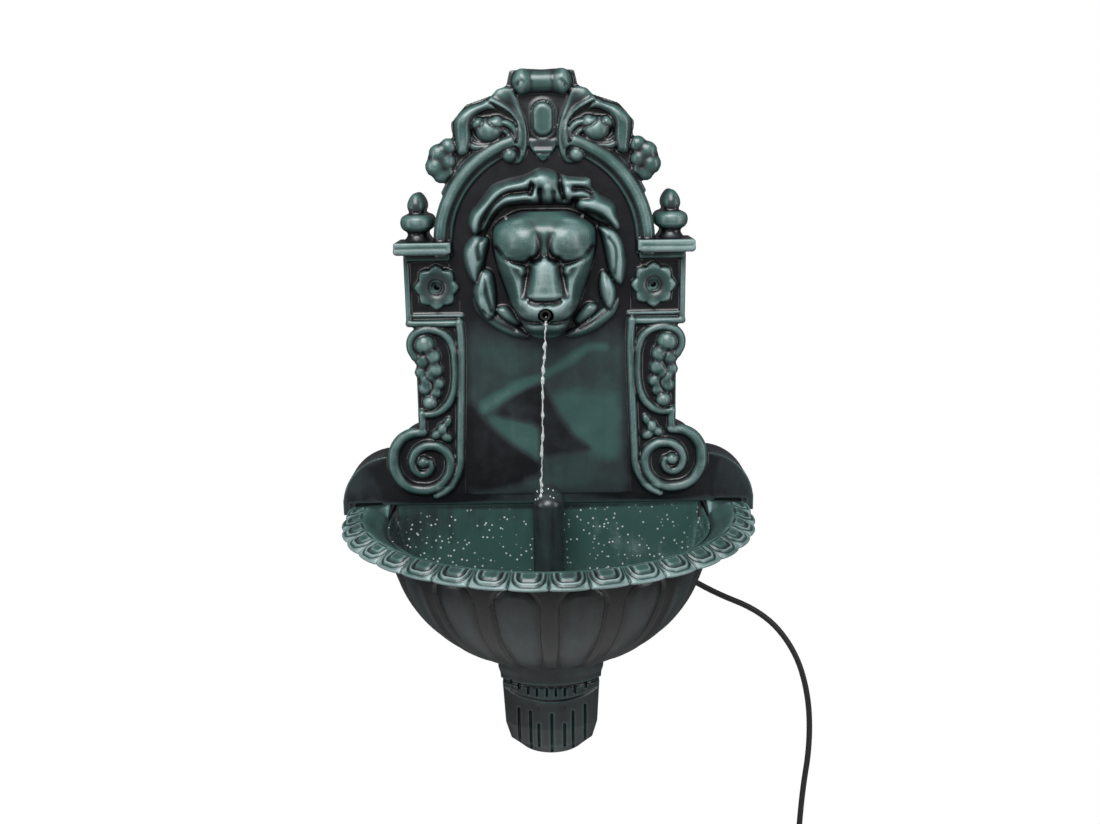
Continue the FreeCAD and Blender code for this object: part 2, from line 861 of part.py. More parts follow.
def lion_mask():
    """The lion's head, a separate hollow moulding on the front of the panel."""
    pieces = mask_body(0.0)
    for index in range(mane_locks):
        angle = 2 * math.pi * (index + 0.5) / mane_locks
        centre = Vector(mane_x_radius * math.cos(angle), panel_front_y - lock_forward,
                        mask_z + mane_z_radius * math.sin(angle))
        pieces.append(front_of(ball(mane_lock_radius, centre), panel_front_y))
    pieces.append(ball(chin_radius, Vector(0, muzzle_y - chin_forward, chin_z)))
    nose_tip = Vector(0, muzzle_front_y, muzzle_z + nose_tip_rise)
    pieces.append(capsule(nose_radius, on_mask(*nose_top), nose_tip))
    for side in (-1, 1):
        inner, outer = [on_mask(side * x, forward, rise) for x, forward, rise in brow_ends]
        pieces.append(capsule(brow_radius, inner, outer))
        lip = Vector(side * lip_x, muzzle_y - lip_forward, muzzle_z - lip_drop)
        pieces.append(ball(lip_radius, lip))
    outer = fuse(pieces)
    hollow = outer.cut(fuse(mask_body(mask_wall)))
    tip = Vector(0, spout_tip_y, mouth_z)
    seat = Vector(0, spout_seat_y, mouth_z)
    boss = rod(0.5 * spout_outer + mask_wall, seat, tip)
    bosses = [boss.common(outer)]
    boss_end_y = panel_front_y - mask_boss_depth
    for place in mask_screw_places():
        start = Vector(place.x, panel_front_y, place.z)
        bosses.append(rod(0.5 * screw_boss, start, Vector(place.x, boss_end_y, place.z)).common(outer))
    mask = hollow.multiFuse(bosses)
    pilot = 0.5 * screw_shank + screw_gap
    ahead = tip - Vector(0, spout_length, 0)
    cuts = [
        rod(0.5 * spout_outer + hose_fit, seat + Vector(0, reach, 0), ahead),
        rod(mouth_radius, tip, ahead),
        rod(hose_radius + reach, Vector(0, panel_front_y + reach, mouth_z), seat),
        rod(0.5 * spout_flange + soft_gap, seat + Vector(0, spout_flange_thickness + reach, 0), seat),
    ]
    for place in mask_screw_places():
        start = Vector(place.x, panel_front_y + reach, place.z)
        cuts.append(rod(pilot, start, Vector(place.x, boss_end_y + mask_pilot_floor, place.z)))
    return mask.cut(Part.makeCompound(cuts)).removeSplitter()


def mask_screws():
    length = panel_wall + mask_boss_depth - 2 * mask_pilot_floor
    solids = []
    for place in mask_screw_places():
        face = Vector(place.x, cavity_front_y, place.z)
        solids.append(screw(face, Vector(0, -1, 0), length))
    return Part.makeCompound(solids)


def spout_nozzle():
    """The brass-coloured tube in the lion's mouth, with a stem for the hose."""
    seat = Vector(0, spout_seat_y, mouth_z)
    tip = Vector(0, spout_tip_y, mouth_z)
    flange_back = seat + Vector(0, spout_flange_thickness, 0)
    stem_end = Vector(0, panel_front_y - spout_stem, mouth_z)
    body = fuse([
        rod(0.5 * spout_outer, seat, tip),
        rod(0.5 * spout_flange, seat, flange_back),
        rod(0.5 * hose_inner - hose_fit, seat, stem_end),
    ])
    return body.cut(rod(0.5 * spout_bore, stem_end + Vector(0, reach, 0), tip - Vector(0, reach, 0)))


def hose_route():
    return [
        Vector(hose_x, hose_front_y, pump_top_z + 2.0),
        Vector(hose_x, hose_front_y, hose_crossing_z),
        Vector(hose_x, hose_back_y, hose_crossing_z),
        Vector(0, hose_back_y, mouth_z),
        Vector(0, spout_seat_y + spout_flange_thickness, mouth_z),
    ]


def water_hose():
    """The clear hose from the pump, over the basin's back wall and up behind the panel."""
    bends = [hose_front_bend, hose_back_bend, hose_back_bend]
    outer, length = swept_tube(hose_route(), bends, hose_radius)
    inner, _ = swept_tube(hose_route(), bends, 0.5 * hose_inner)
    print("water hose length", round(length, 1))
    return outer.cut(inner)


def hose_clips():
    """Two snap-in clips on the inside of the panel's front wall."""
    top = Vector(0, hose_back_y, mouth_z)
    low = Vector(hose_x, hose_back_y, hose_crossing_z)
    solids = []
    for rise in clip_rise:
        z = basin_top_z + rise
        share = (z - low.z) / (top.z - low.z)
        x = low.x + share * (top.x - low.x)
        block = box(x - 0.5 * clip_width, x + 0.5 * clip_width, cavity_front_y, hose_back_y + clip_grip,
                    z - 0.5 * clip_height, z + 0.5 * clip_height)
        way = (top - low).normalize()
        middle = Vector(x, hose_back_y, z)
        bore = rod(hose_radius + hose_fit, middle - way * clip_height, middle + way * clip_height)
        solids.append(block.cut(bore))
    return Part.makeCompound(solids)


# Basin

def bowl_section(inset):
    """Radii and centres of the bowl's side and floor arcs, drawn in by the inset."""
    squares = bowl_radius ** 2 + bowl_depth ** 2
    floor_radius = (squares - 2 * bowl_radius * bowl_knuckle) / (2 * bowl_floor_lift)
    floor_z = bowl_centre_z - bowl_depth + floor_radius
    return bowl_knuckle - inset, floor_radius - inset, floor_z


def bowl_face(inset, top_z, y):
    """Half the bowl's upright section, from its axis to its side."""
    knuckle, floor_radius, floor_z = bowl_section(inset)
    centre = Vector(knuckle_x, y, bowl_centre_z)
    floor_centre = Vector(0, y, floor_z)
    lean = (centre - floor_centre).normalize()
    side = Vector(knuckle_x + knuckle, y, bowl_centre_z)
    joint = floor_centre + lean * floor_radius
    half = math.atan2(-lean.z, lean.x) / 2
    side_middle = centre + Vector(math.cos(half), 0, -math.sin(half)) * knuckle
    bottom = floor_centre - Vector(0, 0, floor_radius)
    floor_way = (lean - Vector(0, 0, 1)).normalize()
    floor_middle = floor_centre + floor_way * floor_radius
    top_side = Vector(side.x, y, top_z)
    top_axis = Vector(0, y, top_z)
    edges = [line(top_axis, top_side)]
    if top_z > bowl_centre_z:
        edges.append(line(top_side, side))
    edges += [
        arc(side, side_middle, joint), arc(joint, floor_middle, bottom), line(bottom, top_axis),
    ]
    return Part.Face(Part.Wire(edges))


def bowl_front(inset, top_z):
    """The quarter-round front of the bowl."""
    face = bowl_face(inset, top_z, basin_centre_y)
    return face.revolve(Vector(0, basin_centre_y, 0), Vector(0, 0, 1), -180)


def bowl_sides(inset, top_z, y_front, y_back):
    """The straight stretch of the bowl between two planes."""
    face = bowl_face(inset, top_z, y_front)
    return fuse(pair(face.extrude(Vector(0, y_back - y_front, 0))))


def scallop_plate(z0, z1):
    """The scalloped outline of the rim, with one more scallop on each straight side."""
    edges = []
    step = math.pi / scallop_count
    half_pitch = rim_crest_radius * math.sin(step / 2)
    valley = scallop_valley
    crest = scallop_top

    def place(radius, angle):
        return Vector(radius * math.cos(angle), basin_centre_y - radius * math.sin(angle), z0)

    for index in range(scallop_count):
        angle = index * step
        middle = place(crest, angle + step / 2)
        edges.append(arc(place(valley, angle), middle, place(valley, angle + step)))
    side_end = basin_centre_y + 2 * half_pitch
    for side in (1, -1):
        start = Vector(side * valley, basin_centre_y, z0)
        end = Vector(side * valley, side_end, z0)
        middle = Vector(side * crest, 0.5 * (basin_centre_y + side_end), z0)
        edges.append(arc(start, middle, end))
        edges.append(line(end, Vector(side * valley, 0, z0)))
    edges.append(line(Vector(valley, 0, z0), Vector(-valley, 0, z0)))
    return plate_xy(edges, z0, z1)


def rim_outline():
    """The rim's section: a sloping top, a rolled outer edge and the fillet to the bowl."""
    top = basin_top_z
    edge = top - rim_drop
    outer = rim_outer_radius
    return [
        (inner_radius, bowl_centre_z), (rim_inner_radius, top), (rim_crest_radius, top - rim_crest_drop),
        (outer, edge), (outer, edge - rim_roll), (outer - rim_roll_width, edge - rim_roll),
        (rim_crest_radius, top - rim_drop - rim_thickness),
        (flute_radius, bowl_centre_z - rim_thickness), (inner_radius, bowl_centre_z - rim_thickness),
    ]


def rim_leaves():
    """The raised leaf on each scallop of the rim."""
    leaves = []
    step = 180.0 / scallop_count
    start = rim_inner_radius + leaf_margin
    slope = math.degrees(math.atan2(rim_crest_drop, rim_crest_radius - rim_inner_radius))
    beside = basin_centre_y + rim_crest_radius * math.sin(math.radians(step / 2))
    for half, end, rise in leaf_steps:
        leaf = box(start, end, -half, half, basin_top_z - leaf_foot, basin_top_z + rise)
        leaf.rotate(Vector(rim_inner_radius, 0, basin_top_z), Vector(0, 1, 0), slope)
        for index in range(scallop_count):
            copy = leaf.translated(Vector(0, basin_centre_y, 0))
            copy.rotate(Vector(0, basin_centre_y, 0), Vector(0, 0, 1), -(index + 0.5) * step)
            leaves.append(copy)
        leaves += pair(leaf.translated(Vector(0, beside, 0)))
    return leaves


def rim():
    profile = rim_outline()
    points = [Vector(r, basin_centre_y, z) for r, z in profile]
    face = Part.Face(Part.makePolygon(points + points[:1]))
    front = face.revolve(Vector(0, basin_centre_y, 0), Vector(0, 0, 1), -180)
    straight = pair(face.extrude(Vector(0, -basin_centre_y, 0)))
    low = bowl_centre_z - 2 * rim_thickness
    plain = fuse([front] + straight).common(scallop_plate(low, basin_top_z + reach))
    return plain.multiFuse(rim_leaves())


def flute_cuts():
    """Shallow flutes round the bowl between narrow fillets."""
    step = 180.0 / flute_count
    width = step - flute_fillet_degrees
    outside = bowl_face(-reach, bowl_centre_z, basin_centre_y)
    band = outside.cut(bowl_face(flute_depth, bowl_centre_z, basin_centre_y))
    keep = box(pendant_half_width + collar_extra, 2 * bowl_radius, basin_centre_y - reach,
               basin_centre_y + reach, flute_bottom_z, flute_top_z)
    band = band.common(keep)
    cuts = []
    for index in range(flute_count):
        slot = band.copy()
        start = index * step + 0.5 * flute_fillet_degrees
        slot.rotate(Vector(0, basin_centre_y, 0), Vector(0, 0, 1), -start)
        cuts.append(slot.revolve(Vector(0, basin_centre_y, 0), Vector(0, 0, 1), -width))
    return cuts


def guide_rails():
    """The two rails on the basin's back wall that hold the hose cover, with their shelves."""
    lip_inner = cover_half_width - cover_wall - cover_lip
    neck_outer = lip_inner - slide_gap
    flange_outer = cover_half_width - cover_wall - slide_gap
    flange_back = cover_back_y - cover_lip_depth - slide_gap
    flange_front = flange_back - rail_flange
    rails = []
    for side in (-1, 1):
        def span(a, b, y0, y1, z0, z1):
            return box(min(side * a, side * b), max(side * a, side * b), y0, y1, z0, z1)
        neck = span(rail_neck_inner, neck_outer, flange_front, back_wall_y, cover_bottom_z, rail_top_z)
        flange = span(rail_neck_inner, flange_outer, flange_front, flange_back, cover_bottom_z, rail_top_z)
        shelf = span(rail_neck_inner, cover_half_width + reach, flange_front, back_wall_y,
                     cover_bottom_z - cover_shelf, cover_bottom_z)
        rails += [neck, flange, shelf]
    return rails


def basin():
    """The fluted half bowl with its scalloped rim, flat back wall and hollow skirt."""
    low_outer = fuse([bowl_front(0.0, bowl_centre_z), bowl_sides(0.0, bowl_centre_z, basin_centre_y, 0)])
    fluted = low_outer.cut(Part.makeCompound(flute_cuts()))
    shell = fluted.fuse(rim())
    wide = 2 * bowl_radius
    band = fuse([
        bowl_front(flute_depth, basin_top_z), bowl_sides(flute_depth, basin_top_z, basin_centre_y, 0),
    ])
    band = band.common(box(-wide, wide, back_wall_y, 0, bowl_centre_z - reach, basin_top_z))
    shell = shell.fuse(band)
    inset = bowl_radius - inner_radius
    water = fuse([
        bowl_front(inset, basin_top_z),
        bowl_sides(inset, basin_top_z, basin_centre_y, back_wall_y),
    ])
    behind = bowl_sides(inset, basin_top_z - back_ledge, back_wall_y + back_wall, reach)
    seat = box(pump_x - seat_half_width, pump_x + seat_half_width, seat_front_y, seat_rear_y,
               bowl_bottom_z - reach, seat_z)
    pads = seat.common(low_outer)
    lugs = []
    for side in (-1, 1):
        x0 = side * lug_x - 0.5 * lug_width
        lug = box(x0, x0 + lug_width, -pendant_wall - lug_thickness, -pendant_wall, lug_bottom_z,
                  collar_top_z)
        lugs.append(lug.cut(bowl_sides(inset, basin_top_z, basin_centre_y, reach)))
    whole = shell.cut(Part.makeCompound([water, behind])).multiFuse([pads] + lugs + guide_rails())
    cuts = []
    for place in basin_screw_places():
        start = Vector(place.x, place.y, basin_top_z + reach)
        cuts.append(rod(0.5 * screw_hole, start, start - Vector(0, 0, back_ledge + 2 * reach)))
    slot_x = lead_x + cord_radius + 2 * reach
    cuts.append(box(lead_x - cord_radius - 2 * reach, slot_x, back_wall_y + back_wall,
                    lead_back_y + cord_radius + 2 * reach, basin_top_z - back_ledge - reach,
                    basin_top_z + reach))
    waist = 0.5 * grommet_waist
    cuts.append(rod(waist, exit_point - exit_way * grommet_flange,
                    exit_point + exit_way * grommet_flange))
    for place in pendant_screw_places():
        cuts.append(rod(0.5 * screw_hole, place + Vector(0, reach, 0),
                        place - Vector(0, lug_thickness + reach, 0)))
    return whole.cut(Part.makeCompound(cuts)).removeSplitter()


def basin_screws():
    solids = []
    for place in basin_screw_places():
        face = Vector(place.x, place.y, basin_top_z - back_ledge)
        solids.append(screw(face, Vector(0, 0, 1), back_ledge + basin_screw_length - panel_wall))
    return Part.makeCompound(solids)


# Hose cover

def cover_bulk(inset, back_y, low_z):
    """The cover's D-shaped column with its round top."""
    radius = cover_half_width - inset
    shoulder_z = cover_top_z - cover_half_width
    round_base = Vector(0, cover_round_y, low_z)
    shoulder = Vector(0, cover_round_y, shoulder_z)
    return fuse([
        rod(radius, round_base, shoulder),
        ball(radius, shoulder),
        rod(radius, shoulder, Vector(0, back_y, shoulder_z)),
        box(-radius, radius, cover_round_y, back_y, low_z, shoulder_z),
    ])


def hose_cover():
    """The pillar in the basin that hides the hose and the lead. It slides up off its rails."""
    outer = cover_bulk(0.0, cover_back_y, cover_bottom_z)
    inner = cover_bulk(cover_wall, cover_back_y + reach, cover_bottom_z - reach)
    shell = outer.cut(inner)
    lips = []
    for side in (-1, 1):
        inner_x = side * (cover_half_width - cover_wall - cover_lip)
        outer_x = side * cover_half_width
        lips.append(box(min(inner_x, outer_x), max(inner_x, outer_x),
                        cover_back_y - cover_lip_depth, cover_back_y, cover_bottom_z, rail_top_z))
    return shell.multiFuse(lips).removeSplitter()


# Pendant

def pendant_wire(half_width, z, shrink=0.0):
    """The pendant's plan: straight sides from the wall and a bowed front."""
    half = half_width - shrink
    side_y = -(pendant_side_depth - (pendant_half_width - half_width) - shrink)
    nose_y = side_y - pendant_bulge
    back = reach if shrink else 0.0
    left = Vector(-half, side_y, z)
    right = Vector(half, side_y, z)
    return Part.Wire([
        line(Vector(-half, back, z), left),
        arc(left, Vector(0, nose_y, z), right),
        line(right, Vector(half, back, z)),
        line(Vector(half, back, z), Vector(-half, back, z)),
    ])


def pendant_bulk(shrink):
    """The collar, the step and the cup as three tapered blocks."""
    collar = pendant_half_width + collar_extra
    low_cup = pendant_half_width - cup_taper
    sections = [(collar, collar_top_z), (collar - collar_taper, collar_bottom_z + shrink)]
    cup = [
        (pendant_half_width, cup_top_z - shrink), (low_cup, cup_low_z),
        (low_cup - cup_turn, cup_low_z - cup_turn_share * cup_floor_height),
        (low_cup - cup_floor_inset, pendant_bottom_z + shrink),
    ]
    overlap = reach + shrink
    step = Part.Face(pendant_wire(pendant_half_width - step_depth, cup_top_z - overlap, shrink))
    step = step.extrude(Vector(0, 0, collar_bottom_z - cup_top_z + 2 * overlap))
    pieces = [Part.makeLoft([pendant_wire(w, z, shrink) for w, z in sections], True, True), step]
    for upper, lower in zip(cup, cup[1:]):
        wires = [pendant_wire(w, z, shrink) for w, z in (upper, lower)]
        pieces.append(Part.makeLoft(wires, True, True))
    return fuse(pieces)


def pendant_groove(angle, half_width, z0, z1):
    """One upright groove in the bowed front, at an angle round the front's own arc."""
    chord = pendant_half_width
    radius = (chord ** 2 + pendant_bulge ** 2) / (2 * pendant_bulge)
    centre_y = -pendant_side_depth - pendant_bulge + radius
    front = radius - pendant_groove_depth
    block = box(-half_width, half_width, centre_y - radius - reach, centre_y - front, z0, z1)
    block.rotate(Vector(0, centre_y, 0), Vector(0, 0, 1), angle)
    return block


def pendant_screw_places():
    return [Vector(side * lug_x, -pendant_wall, pendant_screw_z) for side in (-1, 1)]


def pendant():
    """The hollow bracket under the bowl, with ticks and long grooves on its front."""
    outer = pendant_bulk(0.0)
    shell = outer.cut(pendant_bulk(pendant_wall))
    tabs = []
    tab_front = -pendant_wall - lug_thickness - tab_thickness
    for side in (-1, 1):
        outer_x = side * (pendant_half_width + relief_seat - reach)
        inner_x = side * (lug_x - 0.5 * lug_width)
        tab = box(min(inner_x, outer_x), max(inner_x, outer_x), tab_front, -pendant_wall - lug_thickness,
                  lug_bottom_z, pendant_screw_z + tab_rise)
        tabs.append(tab)
    pilot = 0.5 * screw_shank + screw_gap
    cuts = []
    for place in pendant_screw_places():
        cuts.append(rod(pilot, place, Vector(place.x, tab_front - reach, place.z)))
    low = pendant_bottom_z + groove_bottom_lift
    for index in range(pendant_grooves):
        angle = (index - 0.5 * (pendant_grooves - 1)) * groove_pitch
        top = cup_top_z - groove_top_drop - (groove_step if index % 2 else 0.0)
        cuts.append(pendant_groove(angle, 0.5 * pendant_groove_width, low, top))
    tick_top = cup_top_z + tick_top_rise
    for index in range(pendant_ticks):
        angle = (index - 0.5 * (pendant_ticks - 1)) * tick_pitch
        cuts.append(pendant_groove(angle, 0.5 * tick_width, tick_top - tick_height, tick_top))
    cuts.append(bowl_front(-running_gap, bowl_centre_z))
    cuts.append(bowl_sides(-running_gap, bowl_centre_z, basin_centre_y, reach))
    return shell.multiFuse(tabs).cut(Part.makeCompound(cuts)).removeSplitter()


def pendant_screws():
    length = lug_thickness + tab_thickness - relief_seat
    solids = [screw(place, Vector(0, -1, 0), length) for place in pendant_screw_places()]
    return Part.makeCompound(solids)


# Pump

def pump_left():
    return pump_x - 0.5 * pump_width


def pump_right():
    return pump_x + 0.5 * pump_width


def axis_point(y):
    return Vector(pump_x, y, pump_axis_z)


def motor_space():
    """The space round the rotor well that holds the stator, open at the rear."""
    front = chamber_back_y + pump_wall
    room = box(pump_left() + pump_wall, pump_right() - pump_wall, front, pump_rear_y,
               pump_bottom_z + pump_wall, pump_top_z - pump_wall)
    well = rod(well_radius + well_wall, axis_point(front - reach), axis_point(well_back_y + well_wall))
    return room.cut(well)


def gland_place():
    return Vector(lead_x, lead_front_y, pump_top_z)


def pump_housing():
    """The pump's body: the impeller chamber with its outlet, the rotor well and the motor space."""
    body = box(pump_left(), pump_right(), pump_front_y, pump_rear_y, pump_bottom_z, pump_top_z)
    outlet_y = hose_front_y
    base = Vector(hose_x, outlet_y, pump_top_z)
    top = Vector(hose_x, outlet_y, pump_outlet_z)
    stub = rod(0.5 * hose_inner - hose_fit, base - Vector(0, 0, reach), top)
    body = body.fuse(stub)
    cuts = [
        rod(chamber_radius, axis_point(pump_front_y - reach), axis_point(chamber_back_y)),
        rod(well_radius, axis_point(chamber_back_y - reach), axis_point(well_back_y)),
        rod(0.5 * spout_bore - reach, Vector(hose_x, outlet_y, pump_axis_z), top + Vector(0, 0, reach)),
        motor_space(),
        motor_space().translated(Vector(0, reach, 0)).common(
            box(pump_left(), pump_right(), pump_rear_y - reach, pump_rear_y + 2 * reach,
                pump_bottom_z, pump_top_z)),
        rod(gland_radius - reach, gland_place() - Vector(0, 0, pump_wall + reach),
            gland_place() + Vector(0, 0, reach)),
    ]
    for place in foot_places():
        cuts.append(rod(cup_stem_radius, place - Vector(0, 0, reach), place + Vector(0, 0, cup_stem)))
    return body.cut(Part.makeCompound(cuts)).removeSplitter()


def stator_core():
    """The laminated iron U round the rotor well."""
    inner = well_radius + well_wall + soft_gap
    front = chamber_back_y + 2 * pump_wall
    back = front + core_depth
    yoke_low = pump_bottom_z + pump_wall + coil_wrap + soft_gap
    top = pump_axis_z + inner
    arms = [box(pump_x + inner, pump_x + inner + core_arm, front, back, yoke_low, top),
            box(pump_x - inner - core_arm, pump_x - inner, front, back, yoke_low, top)]
    yoke = box(pump_x - inner, pump_x + inner, front, back, yoke_low, yoke_low + core_yoke)
    return fuse(arms + [yoke])


def stator_coil():
    """The enamelled copper winding round the yoke of the core."""
    front = chamber_back_y + 2 * pump_wall
    back = front + core_depth
    yoke_low = pump_bottom_z + pump_wall + coil_wrap + soft_gap
    half = 0.5 * coil_length
    outer = box(pump_x - half, pump_x + half, front - coil_wrap, back + coil_wrap,
                yoke_low - coil_wrap, yoke_low + core_yoke + coil_wrap_inner)
    hole = box(pump_x - half - reach, pump_x + half + reach, front, back, yoke_low, yoke_low + core_yoke)
    return outer.cut(hole)


def potting_fill():
    """The resin that seals the stator in the housing."""
    return motor_space().cut(Part.makeCompound([stator_core(), stator_coil()]))


def shaft_ends():
    front = pump_front_y
    rear = well_back_y
    return front, rear


def rotor_shaft():
    """The fixed ceramic shaft on which the rotor turns."""
    front, rear = shaft_ends()
    return rod(shaft_radius, axis_point(front), axis_point(rear))


def shaft_bushes():
    """The rubber bushes that hold the shaft at the well's floor and in the chamber cover."""
    front, rear = shaft_ends()
    solids = []
    for start, end in ((rear - bush_length, rear), (front, front + bush_length)):
        ring = rod(bush_radius, axis_point(start), axis_point(end))
        hole = rod(shaft_radius, axis_point(start - reach), axis_point(end + reach))
        solids.append(ring.cut(hole))
    return Part.makeCompound(solids)


def magnet_span():
    rear = well_back_y - bush_length - slide_gap
    return rear - magnet_length, rear


def rotor_magnet():
    start, end = magnet_span()
    body = rod(magnet_radius, axis_point(start), axis_point(end))
    return body.cut(rod(shaft_radius + running_gap, axis_point(start - reach), axis_point(end + reach)))


def impeller():
    """A hub with straight blades, moulded on the front of the magnet."""
    start, _ = magnet_span()
    front = start - impeller_depth
    pieces = [rod(impeller_hub, axis_point(front), axis_point(start))]
    for index in range(impeller_blades):
        blade = box(pump_x, pump_x + impeller_radius, front, start - reach,
                    pump_axis_z - 0.5 * blade_thickness, pump_axis_z + 0.5 * blade_thickness)
        blade.rotate(axis_point(0), Vector(0, 1, 0), 360.0 * index / impeller_blades)
        pieces.append(blade)
    bore = rod(shaft_radius + running_gap, axis_point(front - reach), axis_point(start + reach))
    return fuse(pieces).cut(bore)


def chamber_lid():
    """The front lid of the impeller chamber, with the inlet and the front bush seat."""
    front = pump_front_y - chamber_cover
    lid = box(pump_left(), pump_right(), front, pump_front_y, pump_bottom_z, pump_top_z)
    ring_outer = bush_radius + bush_seat_wall
    seat = rod(ring_outer, axis_point(pump_front_y), axis_point(pump_front_y + bush_length))
    cuts = [rod(bush_radius, axis_point(pump_front_y), axis_point(pump_front_y + bush_length + reach))]
    for index in range(inlet_holes):
        angle = 2 * math.pi * (index + 0.5) / inlet_holes
        place = axis_point(0) + Vector(inlet_ring * math.cos(angle), 0, inlet_ring * math.sin(angle))
        start = Vector(place.x, front - reach, place.z)
        cuts.append(rod(inlet_radius, start, Vector(place.x, pump_front_y + reach, place.z)))
    return lid.fuse(seat).cut(Part.makeCompound(cuts)).removeSplitter()


def filter_cover():
    """The slotted cover that snaps over the pump's inlet and pulls off to the front."""
    rear = pump_front_y - chamber_cover - running_gap
    front = rear - filter_depth
    outer = box(pump_left(), pump_right(), front, rear, pump_bottom_z, pump_top_z)
    inner = box(pump_left() + filter_wall, pump_right() - filter_wall, front + filter_wall, rear + reach,
                pump_bottom_z + filter_wall, pump_top_z - filter_wall)
    knob_hole = rod(knob_stem_radius + running_gap, axis_point(front - reach),
                    axis_point(front + 2 * filter_wall))
    cuts = [inner, knob_hole]
    pitch = (pump_height - 2 * filter_wall) / filter_slots
    for index in range(filter_slots):
        z = pump_bottom_z + filter_wall + (index + 0.5) * pitch
        for x0, x1 in ((pump_left() + slot_margin, pump_x - knob_disc_radius - reach),
                       (pump_x + knob_disc_radius + reach, pump_right() - slot_margin)):
            cuts.append(box(x0, x1, front - reach, front + filter_wall + reach,
                            z - 0.5 * filter_slot_width, z + 0.5 * filter_slot_width))
    return outer.cut(Part.makeCompound(cuts))


def filter_sponge():
    """The foam block between the slotted cover and the inlet."""
    rear = pump_front_y - chamber_cover - running_gap - soft_gap
    gap = filter_wall + soft_gap
    return box(pump_left() + gap, pump_right() - gap, rear - sponge_depth, rear,
               pump_bottom_z + gap, pump_top_z - gap)


def flow_regulator():
    """The knob on the filter cover that opens and shuts the inlet."""
    front = pump_front_y - chamber_cover - running_gap - filter_depth
    face = front - slide_gap
    disc = rod(knob_disc_radius, axis_point(face - knob_disc_thickness), axis_point(face))
    stem = rod(knob_stem_radius, axis_point(face), axis_point(face + knob_stem_length))
    grip = knob_disc_radius - reach
    ridge_face = face - knob_disc_thickness
    ridge = box(pump_x - 0.5 * knob_ridge_width, pump_x + 0.5 * knob_ridge_width,
                ridge_face - knob_ridge_height, ridge_face, pump_axis_z - grip, pump_axis_z + grip)
    return fuse([disc, stem, ridge])


def foot_places():
    middle_y = 0.5 * (pump_front_y + pump_rear_y)
    return [Vector(pump_x + side * foot_spread_x, middle_y + end * foot_spread_y, pump_bottom_z)
            for side in (-1, 1) for end in (-1, 1)]


def suction_cups():
    """Four rubber cups under the pump, with stems in its floor."""
    solids = []
    for place in foot_places():
        low = place.z - cup_foot
        neck = cup_stem_radius + reach
        profile = [(0, place.z), (neck, place.z), (neck, place.z - cup_hollow),
                   (cup_radius, low + cup_lip), (cup_radius, low), (cup_radius - cup_lip, low),
                   (0, low + cup_hollow)]
        cup = turned(profile, Vector(place.x, place.y, 0), 360)
        stem = rod(cup_stem_radius, place - Vector(0, 0, reach), place + Vector(0, 0, cup_stem))
        solids.append(fuse([cup, stem]))
    return Part.makeCompound(solids)


# Mains lead, coil and plug

def cord_gland():
    """The rubber sleeve where the lead leaves the pump."""
    place = gland_place()
    root = rod(gland_radius - reach, place - Vector(0, 0, pump_wall), place)
    sleeve = Part.makeCone(gland_radius, cord_radius + gland_tip_wall, gland_height, place)
    bore = rod(cord_radius, place, place + Vector(0, 0, gland_height + reach))
    return fuse([root, sleeve]).cut(bore)


def lead_route():
    return [
        gland_place(),
        Vector(lead_x, lead_front_y, lead_crossing_z),
        Vector(lead_x, lead_back_y, lead_crossing_z),
        Vector(lead_x, lead_back_y + 1.0, lead_low_z),
        Vector(62.0, -15.0, lead_low_z - 4.0),
        exit_point - exit_way * inside_run,
        exit_point,
    ]


def pump_lead():
    """The stretch of the mains lead inside the object, from the pump to the grommet."""
    points = lead_route()
    bends = [lead_bend, lead_bend] + wide_bends(points[2:])
    tube, length = swept_tube(points, bends, cord_radius)
    print("inside lead length", round(length, 1), "bends", [round(b, 1) for b in bends])
    return tube


def cord_grommet():
    """The rubber grommet in the basin's skirt."""
    out = exit_way
    middle = exit_point - out * 0.5 * skirt_wall
    half = 0.5 * skirt_wall + 2 * soft_gap
    waist = rod(0.5 * grommet_waist, middle - out * half, middle + out * half)
    inner_flange = rod(0.5 * grommet_flange, middle - out * half,
                       middle - out * (half + grommet_flange_thickness))
    outer_flange = rod(0.5 * grommet_flange, middle + out * half,
                       middle + out * (half + grommet_flange_thickness))
    bore = rod(cord_radius + hose_fit, middle - out * grommet_flange, middle + out * grommet_flange)
    return fuse([waist, inner_flange, outer_flange]).cut(bore)


def coil_solid():
    """The outer shape of the tied coil: a flat ring."""
    half_row = 0.5 * coil_rows * cord_diameter
    half_layer = 0.5 * coil_layers * cord_diameter
    start = Vector(coil_ring_x, coil_ring_y - half_layer, coil_ring_z)
    end = Vector(coil_ring_x, coil_ring_y + half_layer, coil_ring_z)
    outer = rod(coil_ring_mean + half_row, start, end)
    inner = rod(coil_ring_mean - half_row, start - Vector(0, reach, 0), end + Vector(0, reach, 0))
    return outer.cut(inner)


def mains_cord():
    """The free lead from the grommet down to the coil."""
    points = free_cord_route
    bends = wide_bends(points)
    tube, length = swept_tube(points, bends, cord_radius)
    print("free cord length", round(length, 1), "bends", [round(b, 1) for b in bends])
    section = math.pi * cord_radius ** 2
    print("tube volume", round(tube.Volume, 1), "section times length", round(section * length, 1))
    return tube.cut(coil_solid())


def cord_tail():
    """The short end of the lead between the coil and the plug."""
    start = Vector(coil_ring_x + coil_ring_mean, coil_ring_y - cord_radius, coil_ring_z - tail_drop)
    end = Vector(plug_x, coil_ring_y, plug_top_z)
    return rod(cord_radius, start, end).cut(coil_solid()).cut(mains_plug())


